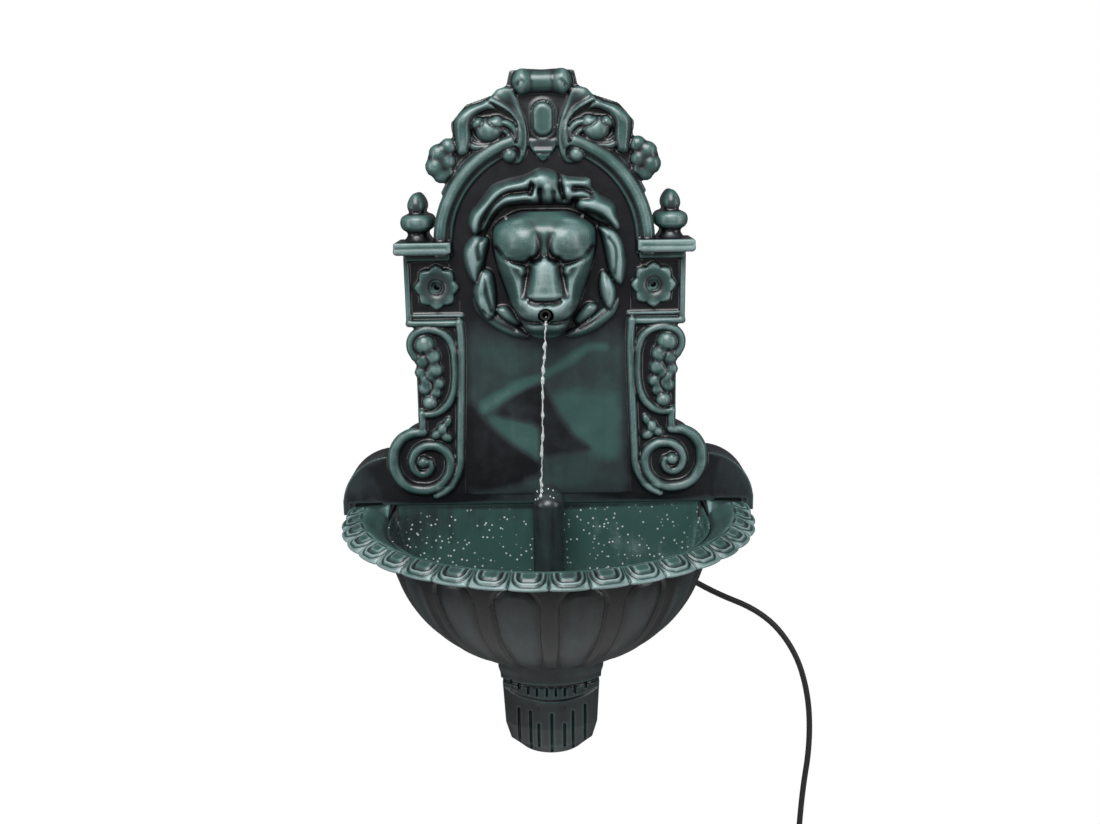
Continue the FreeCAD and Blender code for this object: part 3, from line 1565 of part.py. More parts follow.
def cord_tie():
    """The strap that holds the coil together at its left side."""
    half_row = 0.5 * coil_rows * cord_diameter + soft_gap
    half_layer = 0.5 * coil_layers * cord_diameter + soft_gap
    x = coil_ring_x - coil_ring_mean
    z0 = coil_ring_z - 0.5 * tie_width
    z1 = coil_ring_z + 0.5 * tie_width
    outer = box(x - half_row - tie_thickness, x + half_row + tie_thickness,
                coil_ring_y - half_layer - tie_thickness, coil_ring_y + half_layer + tie_thickness, z0, z1)
    ring = coil_solid()
    hole = box(x - half_row, x + half_row, coil_ring_y - half_layer, coil_ring_y + half_layer,
               z0 - reach, z1 + reach)
    return outer.cut(hole).cut(ring)


def mains_plug():
    """A flat two-pin plug body with its strain relief, hanging below the coil."""
    low = plug_top_z - plug_relief_length
    relief = Part.makeCone(cord_radius + relief_tip_wall, cord_radius + relief_foot_wall, plug_relief_length,
                           Vector(plug_x, coil_ring_y, plug_top_z), Vector(0, 0, -1))
    body = box(plug_x - 0.5 * plug_width, plug_x + 0.5 * plug_width,
               coil_ring_y - 0.5 * plug_thickness, coil_ring_y + 0.5 * plug_thickness,
               low - plug_length, low)
    upright = [edge for edge in body.Edges if edge.BoundBox.ZLength > 0.5 * plug_length]
    body = body.makeFillet(plug_corner, upright)
    return fuse([relief, body])


def plug_pins():
    low = plug_top_z - plug_relief_length - plug_length
    solids = []
    for side in (-1, 1):
        start = Vector(plug_x + side * 0.5 * pin_spacing, coil_ring_y, low)
        solids.append(rod(pin_radius, start, start - Vector(0, 0, pin_length)))
    return Part.makeCompound(solids)


pieces = {
    "back_panel": back_panel,
    "lion_mask": lion_mask,
    "mask_screws": mask_screws,
    "spout_nozzle": spout_nozzle,
    "water_hose": water_hose,
    "hose_clips": hose_clips,
    "basin": basin,
    "basin_screws": basin_screws,
    "hose_cover": hose_cover,
    "pendant": pendant,
    "pendant_screws": pendant_screws,
    "pump_housing": pump_housing,
    "stator_core": stator_core,
    "stator_coil": stator_coil,
    "potting_fill": potting_fill,
    "rotor_shaft": rotor_shaft,
    "shaft_bushes": shaft_bushes,
    "rotor_magnet": rotor_magnet,
    "impeller": impeller,
    "chamber_lid": chamber_lid,
    "filter_cover": filter_cover,
    "filter_sponge": filter_sponge,
    "flow_regulator": flow_regulator,
    "suction_cups": suction_cups,
    "cord_gland": cord_gland,
    "pump_lead": pump_lead,
    "cord_grommet": cord_grommet,
    "mains_cord": mains_cord,
    "cord_coil": coil_solid,
    "cord_tail": cord_tail,
    "cord_tie": cord_tie,
    "mains_plug": mains_plug,
    "plug_pins": plug_pins,
}

os.makedirs("parts", exist_ok=True)
for name, make in pieces.items():
    shape = make()
    shape.exportStep("parts/" + name + ".step")
    print(name, len(shape.Solids), "solids", "valid" if shape.isValid() else "NOT VALID",
          round(shape.Volume / 1000, 2), "cm3")
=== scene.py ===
import bpy
import math
import random
import numpy as np
from mathutils import Matrix, Vector


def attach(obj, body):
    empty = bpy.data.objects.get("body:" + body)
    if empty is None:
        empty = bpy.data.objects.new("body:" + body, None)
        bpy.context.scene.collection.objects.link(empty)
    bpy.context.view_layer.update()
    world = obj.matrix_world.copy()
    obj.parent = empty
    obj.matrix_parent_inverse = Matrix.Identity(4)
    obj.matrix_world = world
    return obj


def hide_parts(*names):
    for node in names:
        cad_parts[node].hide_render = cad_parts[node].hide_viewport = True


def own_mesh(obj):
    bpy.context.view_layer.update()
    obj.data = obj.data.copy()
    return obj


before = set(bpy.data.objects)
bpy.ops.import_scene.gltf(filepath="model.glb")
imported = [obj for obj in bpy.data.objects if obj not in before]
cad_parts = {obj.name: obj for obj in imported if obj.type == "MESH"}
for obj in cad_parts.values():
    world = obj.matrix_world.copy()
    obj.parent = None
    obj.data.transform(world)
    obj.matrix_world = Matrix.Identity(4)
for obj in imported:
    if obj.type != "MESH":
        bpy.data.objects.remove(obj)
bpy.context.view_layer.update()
print("wall fountain: frame loaded")

# Sizes are in millimetres unless a name says otherwise; a depth is the distance in front of the house wall
metre = 1000
quickCoarse = 1.0
mostTriangles = 196000

# The garden camera, in metres and degrees
view = {"place": (0.003, -1.180, 0.127), "tilt": 77.6, "roll": -0.85, "lens": 39.04, "sensor": 36.0}

eyeData = bpy.data.cameras.new("gardenCamera")
eyeData.lens = view["lens"]
eyeData.sensor_width = view["sensor"]
eye = bpy.data.objects.new("gardenCamera", eyeData)
bpy.context.collection.objects.link(eye)
eye.matrix_world = (Matrix.Translation(view["place"]) @ Matrix.Rotation(math.radians(view["tilt"]), 4, "X")
                    @ Matrix.Rotation(math.radians(view["roll"]), 4, "Z"))
bpy.context.scene.camera = eye


def dropPick():
    if bpy.context.object and bpy.context.object.mode != "OBJECT":
        bpy.ops.object.mode_set(mode="OBJECT")
    bpy.ops.object.select_all(action="DESELECT")


def pick(*pieces):
    dropPick()
    for piece in pieces:
        piece.select_set(True)
    bpy.context.view_layer.objects.active = pieces[0]


def settle(piece):  # place, turn and size go into the mesh
    pick(piece)
    bpy.ops.object.transform_apply(location=True, rotation=True, scale=True)
    return piece


def readPoints(mesh, what="co"):
    flat = np.empty(len(mesh.vertices) * 3, np.float32)
    mesh.vertices.foreach_get(what, flat)
    return flat.reshape(-1, 3).astype(np.float64)


def writePoints(mesh, points):
    mesh.vertices.foreach_set("co", points.astype(np.float32).ravel())
    mesh.update()


def readNormals(mesh):
    return readPoints(mesh, "normal")


faceOut = (bpy.ops.mesh.normals_make_consistent, {"inside": False})


def pushed(y, z):
    return bpy.ops.mesh.extrude_region_move, {"TRANSFORM_OT_translate": {"value": (0, y, z)}}


def merged(gap):
    return bpy.ops.mesh.remove_doubles, {"threshold": gap}


def inEdit(*steps):  # mesh steps on the whole of the active piece
    bpy.ops.object.mode_set(mode="EDIT")
    for step, facts in steps:
        bpy.ops.mesh.select_all(action="SELECT")
        step(**facts)
    bpy.ops.object.mode_set(mode="OBJECT")


def outward(piece):
    pick(piece)
    inEdit(merged(0.00002), faceOut)
    return piece


def twinOf(piece):
    twin = piece.copy()
    twin.data = piece.data.copy()
    bpy.context.collection.objects.link(twin)
    return twin


def joined(name, pieces):
    pick(*pieces)
    bpy.ops.object.join()
    whole = bpy.context.object
    whole.name = name
    return whole


def wire(corners, fill="NOTHING"):  # a closed loop through the corners
    dropPick()
    bpy.ops.mesh.primitive_circle_add(vertices=len(corners), radius=0.01, fill_type=fill)
    loop = bpy.context.object
    for corner, place in zip(loop.data.vertices, corners):
        corner.co = [value / metre for value in place]
    return loop


def spun(loop, steps, angle, x, y):  # a loop turned round an upright axis at (x, y)
    inEdit((bpy.ops.mesh.spin, {"steps": steps, "angle": angle, "center": (x / metre, y / metre, 0),
                                "axis": (0, 0, 1)}))
    return loop


def slab(outline, back, front):  # a flat plate cut to an outline of (x, z) points
    plate = wire([(x, -back, z) for x, z in outline], "NGON")
    inEdit(pushed((back - front) / metre, 0), faceOut)
    return plate


def disc(x, z, radius, back, front, sides=72):
    ring = [(x + radius * math.cos(2 * math.pi * k / sides), z + radius * math.sin(2 * math.pi * k / sides))
            for k in range(sides)]
    return slab(ring, back, front)


def lump(x, z, depth, wide, high, deep, turn=0.0):
    dropPick()
    bpy.ops.mesh.primitive_ico_sphere_add(subdivisions=4, radius=1.0)
    ball = bpy.context.object
    ball.matrix_world = (Matrix.Translation((x / metre, -depth / metre, z / metre))
                         @ Matrix.Rotation(math.radians(-turn), 4, "Y")
                         @ Matrix.Diagonal((wide / metre, deep / metre, high / metre, 1)))
    return settle(ball)


def ridge(points, size, depth, flat=1.0, roundEnds=True):  # a round moulding along (x, z) points
    sizes = size if isinstance(size, (list, tuple)) else [size] * len(points)
    depths = depth if isinstance(depth, (list, tuple)) else [depth] * len(points)
    curve = bpy.data.curves.new("moulding", "CURVE")
    curve.dimensions = "3D"
    curve.bevel_depth = 0.001
    curve.bevel_resolution = 4
    curve.resolution_u = 8
    curve.use_fill_caps = True
    spline = curve.splines.new("BEZIER")
    spline.bezier_points.add(len(points) - 1)
    for knot, (x, z), radius, back in zip(spline.bezier_points, points, sizes, depths):
        knot.co = (x / metre, -back / metre / flat, z / metre)
        knot.handle_left_type = knot.handle_right_type = "AUTO"
        knot.radius = radius
    rod = bpy.data.objects.new("moulding", curve)
    bpy.context.collection.objects.link(rod)
    pick(rod)
    bpy.ops.object.convert(target="MESH")
    rod = bpy.context.object
    rod.scale = (1, flat, 1)
    settle(rod)
    if not roundEnds:
        return [rod]
    tips = []
    for at in (0, -1):
        x, z = points[at]
        tips.append(lump(x, z, depths[at], sizes[at], sizes[at], sizes[at] * flat))
    return [rod] + tips


def flipped(pieces):  # the same pieces on the other side
    twins = []
    for piece in pieces:
        twin = twinOf(piece)
        twin.scale = (-1, 1, 1)
        settle(twin)
        inEdit(faceOut)
        twins.append(twin)
    return twins


def cadCopy(node, name):  # a merged copy of a CAD node's mesh
    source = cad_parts[node]
    piece = twinOf(source)
    piece.name = name
    piece.parent = None
    piece.matrix_world = source.matrix_world
    piece.hide_render = piece.hide_viewport = False
    for key in list(piece.keys()):
        del piece[key]
    settle(piece)
    inEdit(merged(0.000005))
    return piece


def block(x0, x1, near, far, z0, z1):
    return slab([(x0, z0), (x1, z0), (x1, z1), (x0, z1)], near, far)


def reshape(piece, kind, **facts):  # a modifier, applied at once
    step = piece.modifiers.new("step", kind)
    for name, value in facts.items():
        setattr(step, name, value)
    pick(piece)
    bpy.ops.object.modifier_apply(modifier="step")


def carve(piece, cutter, how="DIFFERENCE"):
    reshape(piece, "BOOLEAN", operation=how, solver="EXACT", use_self=False, object=cutter)
    bpy.data.objects.remove(cutter)
    return piece


def soften(piece, rounds):
    reshape(piece, "SMOOTH", factor=0.5, iterations=rounds)


def weld(name, pieces, grain, softness):  # one skin over all the pieces
    skin = joined(name, pieces)
    reshape(skin, "REMESH", mode="VOXEL", voxel_size=grain * quickCoarse / metre)
    soften(skin, softness)
    print(name, "skin", len(skin.data.polygons))
    return skin


def triangles(piece):
    return sum(len(face.vertices) - 2 for face in piece.data.polygons)


def thin(piece):
    count = triangles(piece)
    if count > mostTriangles:
        reshape(piece, "DECIMATE", ratio=mostTriangles / count)
    print(piece.name, "triangles", triangles(piece))


def flow(points, steps=6):  # a smooth run through the points
    run = [np.array(p, float) for p in points]
    run = [2 * run[0] - run[1]] + run + [2 * run[-1] - run[-2]]
    out = []
    for i in range(1, len(run) - 2):
        a, b, c, d = run[i - 1:i + 3]
        for k in range(steps):
            t = k / steps
            out.append(0.5 * ((2 * b) + (c - a) * t + (2 * a - 5 * b + 4 * c - d) * t * t
                              + (3 * b - a - 3 * c + d) * t ** 3))
    out.append(run[-2])
    return np.array(out)


def softMax(a, b, k):  # the higher of the two, blended over k; nothing where both are flat
    h = np.clip(0.5 + 0.5 * (a - b) / k, 0, 1)
    return np.where(np.maximum(a, b) > 0.05, b + (a - b) * h + k * h * (1 - h), 0)


def climb(value, start, over):  # 0 up to the start, 1 from start + over on
    return np.clip((value - start) / over, 0, 1)


def ease(share):
    return share * share * (3 - 2 * share)


def toSegment(spot, a, b):  # distance from the line a to b, and how far along it the nearest place is
    run = b - a
    share = np.clip(((spot - a) @ run) / max(run @ run, 1e-12), 0, 1)
    return np.linalg.norm(spot - a - share[:, None] * run, axis=1), share


def alongLine(x, z, path):  # distance from a smooth line, and how far along it that is
    line = flow(path)
    spot = np.stack([x, z], 1)
    far, place = np.full(len(x), np.inf), np.zeros(len(x))
    for i, (a, b) in enumerate(zip(line[:-1], line[1:])):
        reach, share = toSegment(spot, a, b)
        closer = reach < far
        far = np.where(closer, reach, far)
        place = np.where(closer, (i + share) / (len(line) - 1), place)
    return far, place


def press(piece, paths, width, depth, behind):  # grooves pushed in from the front
    points = readPoints(piece.data)
    x, y, z = points.T * metre
    for path in paths:
        line = flow(path)
        low, high = line.min(0) - width, line.max(0) + width
        near = np.nonzero((x > low[0]) & (x < high[0]) & (z > low[1]) & (z < high[1]) & (y < -behind))[0]
        far = alongLine(x[near], z[near], path)[0]
        y[near] += depth * np.clip(1 - (far / width) ** 2, 0, 1) ** 2
    writePoints(piece.data, np.stack([x, y, z], 1) / metre)


def stroke(x, z, path, width, start, end=None):  # a soft ridge or valley along a line
    far, place = alongLine(x, z, path)
    high = start + ((start if end is None else end) - start) * place
    return high * bell(far, width)


def strokes(x, z, rows):  # rows of path, width and the height at both ends; a valley has negative heights
    return sum(stroke(x, z, *row) for row in rows)


def bell(value, width):
    return np.exp(-(value / width) ** 2)


def swell(x, z, at, wide, tall, high, turn=0.0):  # a soft round rise
    c, s = math.cos(math.radians(turn)), math.sin(math.radians(turn))
    across, up = (x - at[0]) * c + (z - at[1]) * s, -(x - at[0]) * s + (z - at[1]) * c
    return high * np.exp(-(across / wide) ** 2 - (up / tall) ** 2)


def swells(x, z, rows):
    return sum(swell(x, z, *row) for row in rows)


def insideOf(x, z, outline):  # distance inside a closed outline, less than nothing outside it
    steps, least = 4, 1e-9
    count = len(outline) * steps
    loop = flow(list(outline) * 3, steps)[count:2 * count]
    far, inside = np.full(len(x), np.inf), np.zeros(len(x), bool)
    spot = np.stack([x, z], 1)
    for a, b in zip(loop, np.roll(loop, -1, 0)):
        far = np.minimum(far, toSegment(spot, a, b)[0])
        run = b - a
        crosses = (a[1] > z) != (b[1] > z)
        inside ^= crosses & (x < a[0] + (z - a[1]) * run[0] / (run[1] if abs(run[1]) > least else least))
    return np.where(inside, far, -far)


def roundOff(share):  # 1 in the middle, falling like a ball's outline to 0 where the share is 1
    return np.sqrt(np.clip(1 - share, 0, 1))


def dome(inside, roundness, high):
    return high * roundOff((1 - np.clip(inside / roundness, 0, 1)) ** 2)


def bead(x, z, path, radius, high):  # a half-round moulding along a line
    far, place = alongLine(x, z, path)
    return high * roundOff((far / (radius[0] + (radius[-1] - radius[0]) * place)) ** 2)


def knobOf(x, z, at, radius, high, squash=1.0):
    return high * roundOff(((x - at[0]) / radius) ** 2 + ((z - at[1]) / (radius * squash)) ** 2)


def reliefPiece(shape, box, cell, back):  # a closed piece whose front follows shape(x, z); 0 is left out
    x0, x1, z0, z1 = box
    cell *= quickCoarse
    least = 0.5  # the thinnest place in front of the back
    dropPick()
    bpy.ops.mesh.primitive_grid_add(x_subdivisions=int((x1 - x0) / cell),
                                    y_subdivisions=int((z1 - z0) / cell), size=2)
    piece = bpy.context.object
    grid = readPoints(piece.data)
    x, z = (x0 + x1) / 2 + grid[:, 0] * (x1 - x0) / 2, (z0 + z1) / 2 + grid[:, 1] * (z1 - z0) / 2
    writePoints(piece.data, np.stack([x, np.full(len(x), -back), z], 1) / metre)
    piece.data.vertices.foreach_set("select", shape(x, z) <= 0)
    for parts in (piece.data.edges, piece.data.polygons):
        parts.foreach_set("select", np.zeros(len(parts), bool))
    bpy.ops.object.mode_set(mode="EDIT")
    bpy.ops.mesh.delete(type="VERT")
    bpy.ops.object.mode_set(mode="OBJECT")
    inEdit(pushed(-1 / metre, 0))
    points = readPoints(piece.data)
    front = points[:, 1] < -(back + least) / metre
    depth = shape(points[front, 0] * metre, points[front, 2] * metre)
    points[front, 1] = -np.maximum(depth, back + least) / metre
    writePoints(piece.data, points)
    return outward(piece)


def writeLayer(piece, name, value):  # one value for each point, read by the materials
    layer = piece.data.attributes.get(name) or piece.data.attributes.new(name, "FLOAT", "POINT")
    layer.data.foreach_set("value", value.astype(np.float32))


def patinaAndShadeMap(piece, fine=5, wide=28, fineGain=1100.0, wideGain=260.0):  # high places near 1, hollows near 0: the patina's tone, with painted shade in the hollows and painted highlights on the tops
    mesh = piece.data
    count = len(mesh.vertices)
    points, normals = readPoints(mesh), readNormals(mesh)
    pairs = np.empty(len(mesh.edges) * 2, np.int32)
    mesh.edges.foreach_get("vertices", pairs)
    a, b = pairs[0::2], pairs[1::2]
    degree = np.maximum(np.bincount(a, minlength=count) + np.bincount(b, minlength=count), 1)
    soft = points.copy()
    for step in range(wide):
        soft = np.stack([(np.bincount(a, run[b], count) + np.bincount(b, run[a], count)) / degree
                         for run in soft.T], 1)
        if step + 1 == fine:
            near = ((points - soft) * normals).sum(1)
    far = ((points - soft) * normals).sum(1)
    writeLayer(piece, "raised", np.clip(0.5 + near * fineGain + far * wideGain, 0, 1))


def readRaised(piece):
    value = np.empty(len(piece.data.vertices), np.float32)
    piece.data.attributes["raised"].data.foreach_get("value", value)
    return value.astype(np.float64)


def writeRaised(piece, value):
    writeLayer(piece, "raised", np.clip(value, -0.6, 1.2))


def hollowShadeMap(piece, gain, spread=9.0, cell=2.0):  # painted shade in broad hollows, and what stands out around them painted lighter
    points = readPoints(piece.data) * metre
    column = ((points[:, 0] - points[:, 0].min()) / cell).astype(int)
    row = ((points[:, 2] - points[:, 2].min()) / cell).astype(int)
    deep = np.full((row.max() + 1, column.max() + 1), -np.inf)
    np.maximum.at(deep, (row, column), -points[:, 1])
    known = np.isfinite(deep)
    half = int(3 * spread / cell)
    weights = np.exp(-0.5 * (np.arange(-half, half + 1) * cell / spread) ** 2)
    margin = len(weights)

    def blur(field):
        for axis in (0, 1):
            padded = np.pad(field, [(margin, margin) if k == axis else (0, 0) for k in (0, 1)])
            field = np.apply_along_axis(lambda run: np.convolve(run, weights, "same"), axis, padded)
            field = np.take(field, range(margin, field.shape[axis] - margin), axis)
        return field
    mean = blur(np.where(known, deep, 0)) / np.maximum(blur(known.astype(float)), 1e-6)
    writeRaised(piece, readRaised(piece) + np.clip(gain * (-points[:, 1] - mean[row, column]), -0.55, 0.35))


def finish(piece, body, nodes, material):
    piece.data.materials.clear()
    piece.data.materials.append(material)
    for face in piece.data.polygons:
        face.use_smooth = True
    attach(piece, body)
    if nodes:
        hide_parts(*nodes)


def treeTools(tree):  # add() makes a node and gives an output of it; feed() fills or links one socket
    def feed(socket, value):
        if isinstance(value, bpy.types.NodeSocket):
            tree.links.new(value, socket)
        else:
            socket.default_value = value

    def add(kind, output, inputs=(), **settings):
        node = tree.nodes.new("ShaderNode" + kind)
        for name, value in settings.items():
            setattr(node, name, value)
        for socket, value in dict(inputs).items():
            feed(node.inputs[socket], value)
        return node if output is None else node.outputs[output]
    return add, feed


patina = {
    # The float input after Green shifts how much painted highlight a material gets
    "inputs": {"Raised": 0.5, "Green": 0.0, "Bloom": 0.0, "Streak": 0.3, "Patch": 1.0},
    # The last tone is a pale painted highlight for the tops; the first, dark one is the hollows' tone and partly
    # painted shade
    "tones": {"Dark": (0.0042, 0.0043, 0.0056, 1), "Slate": (0.022, 0.031, 0.034, 1),
              "Verdigris": (0.036, 0.088, 0.080, 1), "Highlight": (0.25, 0.35, 0.35, 1)},
    "slateFrom": (0.08, 0.46), "greenFrom": (0.42, 0.92), "highlightFrom": (0.82, 1.30),
    "patches": (11, 4, 0.55), "clouds": (55, 5, 0.6), "specks": (900, 3, 0.7), "streaks": (1, 4, 0.6),
    "streakStretch": (95, 95, 7), "patchGain": 1.5, "cloudGain": 0.8, "streakGain": 3.0, "speckGain": 0.45,
    "highlightMost": 0.75, "roughness": 0.24, "cloudRoughness": 0.18, "highlightRoughness": 0.08, "speckHeight": 0.25,
}


def patinaGroup():  # raised places go from dark over slate and green to a pale painted highlight on the tops; the dark of the hollows is partly painted shade
    group = bpy.data.node_groups.new("castPatina", "ShaderNodeTree")
    sockets = [(name, "Float", "INPUT", value) for name, value in patina["inputs"].items()]
    sockets += [(name, "Color", "INPUT", tone) for name, tone in patina["tones"].items()]
    sockets += [("Color", "Color", "OUTPUT", None), ("Roughness", "Float", "OUTPUT", None),
                ("Height", "Float", "OUTPUT", None)]
    for name, kind, way, value in sockets:
        socket = group.interface.new_socket(name=name, in_out=way, socket_type="NodeSocket" + kind)
        if value is not None:
            socket.default_value = value
    add, feed = treeTools(group)
    given = group.nodes.new("NodeGroupInput").outputs
    result = group.nodes.new("NodeGroupOutput").inputs
    place = add("TexCoord", "Object")

    def noise(facts, source=place):
        return add("TexNoise", "Fac", {"Scale": facts[0], "Detail": facts[1], "Roughness": facts[2],
                                       "Vector": source})

    def maths(kind, a, b):
        return add("Math", 0, {0: a, 1: b}, operation=kind)

    def about(texture, gain):  # a texture's swing round its middle, times the gain
        return maths("MULTIPLY", maths("SUBTRACT", texture, 0.5), gain)

    def ramp(value, ends):
        return add("MapRange", "Result", {"From Min": ends[0], "From Max": ends[1], "Value": value},
                   interpolation_type="SMOOTHSTEP")

    def mix(amount, a, b):
        return add("Mix", "Result", {"Factor": amount, "A": a, "B": b}, data_type="RGBA")

    stretched = add("Mapping", "Vector", {"Scale": patina["streakStretch"], "Vector": place})
    clouds, specks = noise(patina["clouds"]), noise(patina["specks"])
    tone = maths("ADD", about(noise(patina["patches"]), patina["patchGain"]),
                 about(clouds, patina["cloudGain"]))
    tone = maths("MULTIPLY", tone, given["Patch"])
    lines = about(noise(patina["streaks"], stretched), given["Streak"])
    tone = maths("ADD", tone, maths("MULTIPLY", lines, patina["streakGain"]))
    high = maths("ADD", given["Raised"], tone)
    tinted = maths("ADD", high, given["Green"])
    grainy = maths("ADD", high, about(specks, patina["speckGain"]))
    # the share of the pale painted highlight on the tops, speckled
    worn = ramp(maths("ADD", grainy, given["Bloom"]), patina["highlightFrom"])
    coat = mix(ramp(tinted, patina["slateFrom"]), given["Dark"], given["Slate"])
    coat = mix(ramp(tinted, patina["greenFrom"]), coat, given["Verdigris"])
    feed(result["Color"], mix(maths("MULTIPLY", worn, patina["highlightMost"]), coat, given["Highlight"]))
    gloss = maths("ADD", maths("MULTIPLY", clouds, patina["cloudRoughness"]),
                  maths("MULTIPLY", worn, patina["highlightRoughness"]))
    feed(result["Roughness"], maths("ADD", gloss, patina["roughness"]))
    feed(result["Height"], maths("ADD", maths("MULTIPLY", specks, patina["speckHeight"]), clouds))
    return group


castPatina = patinaGroup()


def newMaterial(name, facts=()):
    material = bpy.data.materials.new(name)
    material.use_nodes = True
    tree = material.node_tree
    add, feed = treeTools(tree)

    def surface(values):
        for socket, value in values.items():
            feed(tree.nodes["Principled BSDF"].inputs[socket], value)
    surface(dict(facts))
    return material, add, surface


cast = {"bump": 0.25, "bumpDistance": 0.0008, "specular": 0.7,
        "drops": {"scale": 190, "edge": (0.22, 0.13), "few": 0.56, "tone": (0.62, 0.68, 0.67, 1)}}


def castMaterial(name, green, highlightLift, streak, patch, drops=False):
    material, add, surface = newMaterial(name)
    raised = add("Attribute", "Fac", attribute_name="raised")
    given = {"Raised": raised, "Green": green, "Bloom": highlightLift, "Streak": streak, "Patch": patch}
    coat = add("Group", None, given, node_tree=castPatina).outputs
    color = coat["Color"]
    if drops:  # white splashes where the layer says the casting is wet: real water drops, their white a painted glint
        facts = cast["drops"]
        cells = add("TexVoronoi", None, {"Scale": facts["scale"], "Vector": add("TexCoord", "Object")}).outputs
        dots = add("MapRange", "Result", {"From Min": facts["edge"][0], "From Max": facts["edge"][1],
                                          "Value": cells["Distance"]})
        few = add("Math", 0, {0: cells["Color"], 1: facts["few"]}, operation="GREATER_THAN")
        wet = add("Attribute", "Fac", attribute_name="wet")
        drop = add("Math", 0, {0: add("Math", 0, {0: few, 1: wet}, operation="MULTIPLY"), 1: dots},
                   operation="MULTIPLY")
        color = add("Mix", "Result", {"Factor": drop, "A": color, "B": facts["tone"]}, data_type="RGBA")
    relief = add("Bump", "Normal", {"Strength": cast["bump"], "Distance": cast["bumpDistance"],
                                    "Height": coat["Height"]})
    surface({"Base Color": color, "Roughness": coat["Roughness"], "Normal": relief,
             "Specular IOR Level": cast["specular"]})
    return material


plain = {"detail": 4, "lighter": 1.25, "lift": 0.004, "roughSwing": 0.08, "roughLeast": 0.02,
         "bumpDistance": 0.0003}


def plainMaterial(name, color, roughness, other=None, scale=300.0, metallic=0.0, coat=0.0, bump=0.15,
                  transmission=0.0):  # moulded or metal parts: a base tone with a fine grain
    material, add, surface = newMaterial(name)
    place = add("TexCoord", "Object")
    grain = add("TexNoise", "Fac", {"Scale": scale, "Detail": plain["detail"], "Vector": place})
    other = other or [min(1, tone * plain["lighter"] + plain["lift"]) for tone in color]
    shade = add("Mix", "Result", {"Factor": grain, "A": (*color, 1), "B": (*other, 1)}, data_type="RGBA")
    rough = add("MapRange", "Result", {"To Min": max(plain["roughLeast"], roughness - plain["roughSwing"]),
                                       "To Max": min(1.0, roughness + plain["roughSwing"]), "Value": grain})
    relief = add("Bump", "Normal", {"Strength": bump, "Distance": plain["bumpDistance"], "Height": grain})
    surface({"Base Color": shade, "Roughness": rough, "Normal": relief, "Metallic": metallic,
             "Coat Weight": coat, "Transmission Weight": transmission})
    return material


panelCast = castMaterial("panelPatina", green=0.0, highlightLift=-0.06, streak=0.06, patch=0.45)
maskCast = castMaterial("lionPatina", green=0.08, highlightLift=0.06, streak=0.0, patch=0.5)
basinCast = castMaterial("basinPatina", green=-0.06, highlightLift=-0.36, streak=0.22, patch=0.5, drops=True)
rimCast = castMaterial("rimPatina", green=0.18, highlightLift=0.12, streak=0.0, patch=0.6)
pendantCast = castMaterial("pendantPatina", green=-0.16, highlightLift=-0.4, streak=0.15, patch=0.7)
coverCast = castMaterial("coverPatina", green=-0.16, highlightLift=-0.5, streak=0.3, patch=0.6)

nodeFinish = {  # name, the CAD nodes that keep their mesh and wear it, tone, roughness, the rest
    "steel": ("screwSteel", ["mask_screws", "basin_screws", "pendant_screws"],
             (0.42, 0.43, 0.44), 0.32, dict(metallic=1.0, scale=900)),
    "nozzle": ("nozzlePlastic", ["spout_nozzle"], (0.002, 0.002, 0.002), 0.8, dict()),
    "hose": ("clearHose", ["water_hose"], (0.78, 0.84, 0.83), 0.12, dict(transmission=0.85, bump=0.05)),
    "clip": ("clipPlastic", ["hose_clips"], (0.10, 0.10, 0.105), 0.5, dict()),
    "pump": ("pumpPlastic", ["pump_housing"], (0.018, 0.019, 0.021), 0.46, dict(scale=500)),
    "lid": ("lidPlastic", ["chamber_lid", "filter_cover"], (0.022, 0.023, 0.026), 0.42, dict(scale=500)),
    "core": ("coreSteel", ["stator_core"], (0.30, 0.30, 0.31), 0.42, dict(metallic=1.0, scale=700)),
    "copper": ("copperWire", ["stator_coil"], (0.62, 0.24, 0.10), 0.35, dict(metallic=1.0, scale=1200)),
    "resin": ("pottingResin", ["potting_fill"], (0.012, 0.012, 0.014), 0.22, dict(coat=0.3)),
    "ceramic": ("shaftCeramic", ["rotor_shaft"], (0.78, 0.77, 0.74), 0.28, dict()),
    "bush": ("bushRubber", ["shaft_bushes"], (0.02, 0.02, 0.02), 0.75, dict()),
    "ferrite": ("magnetFerrite", ["rotor_magnet"], (0.045, 0.043, 0.043), 0.5, dict(scale=800)),
    "impeller": ("impellerPlastic", ["impeller"], (0.70, 0.71, 0.70), 0.42, dict()),
    "foam": ("filterFoam", ["filter_sponge"],
             (0.02, 0.022, 0.026), 0.95, dict(scale=900, bump=0.9, other=(0.06, 0.065, 0.07))),
    "knob": ("knobPlastic", ["flow_regulator"], (0.03, 0.032, 0.035), 0.36, dict()),
    "cup": ("cupRubber", ["suction_cups"], (0.05, 0.052, 0.055), 0.55, dict()),
    "cord": ("cordRubber", ["pump_lead", "cord_gland", "cord_grommet"],
             (0.010, 0.010, 0.011), 0.52, dict(scale=400)),
    "tie": ("tiePlastic", ["cord_tie"], (0.015, 0.015, 0.016), 0.34, dict()),
    "plug": ("plugRubber", ["mains_plug"], (0.013, 0.013, 0.014), 0.46, dict(scale=500)),
    "pin": ("pinMetal", ["plug_pins"], (0.70, 0.66, 0.55), 0.24, dict(metallic=1.0, scale=900)),
}
finishes = {key: plainMaterial(name, tone, roughness, **rest)
            for key, (name, worn, tone, roughness, rest) in nodeFinish.items()}


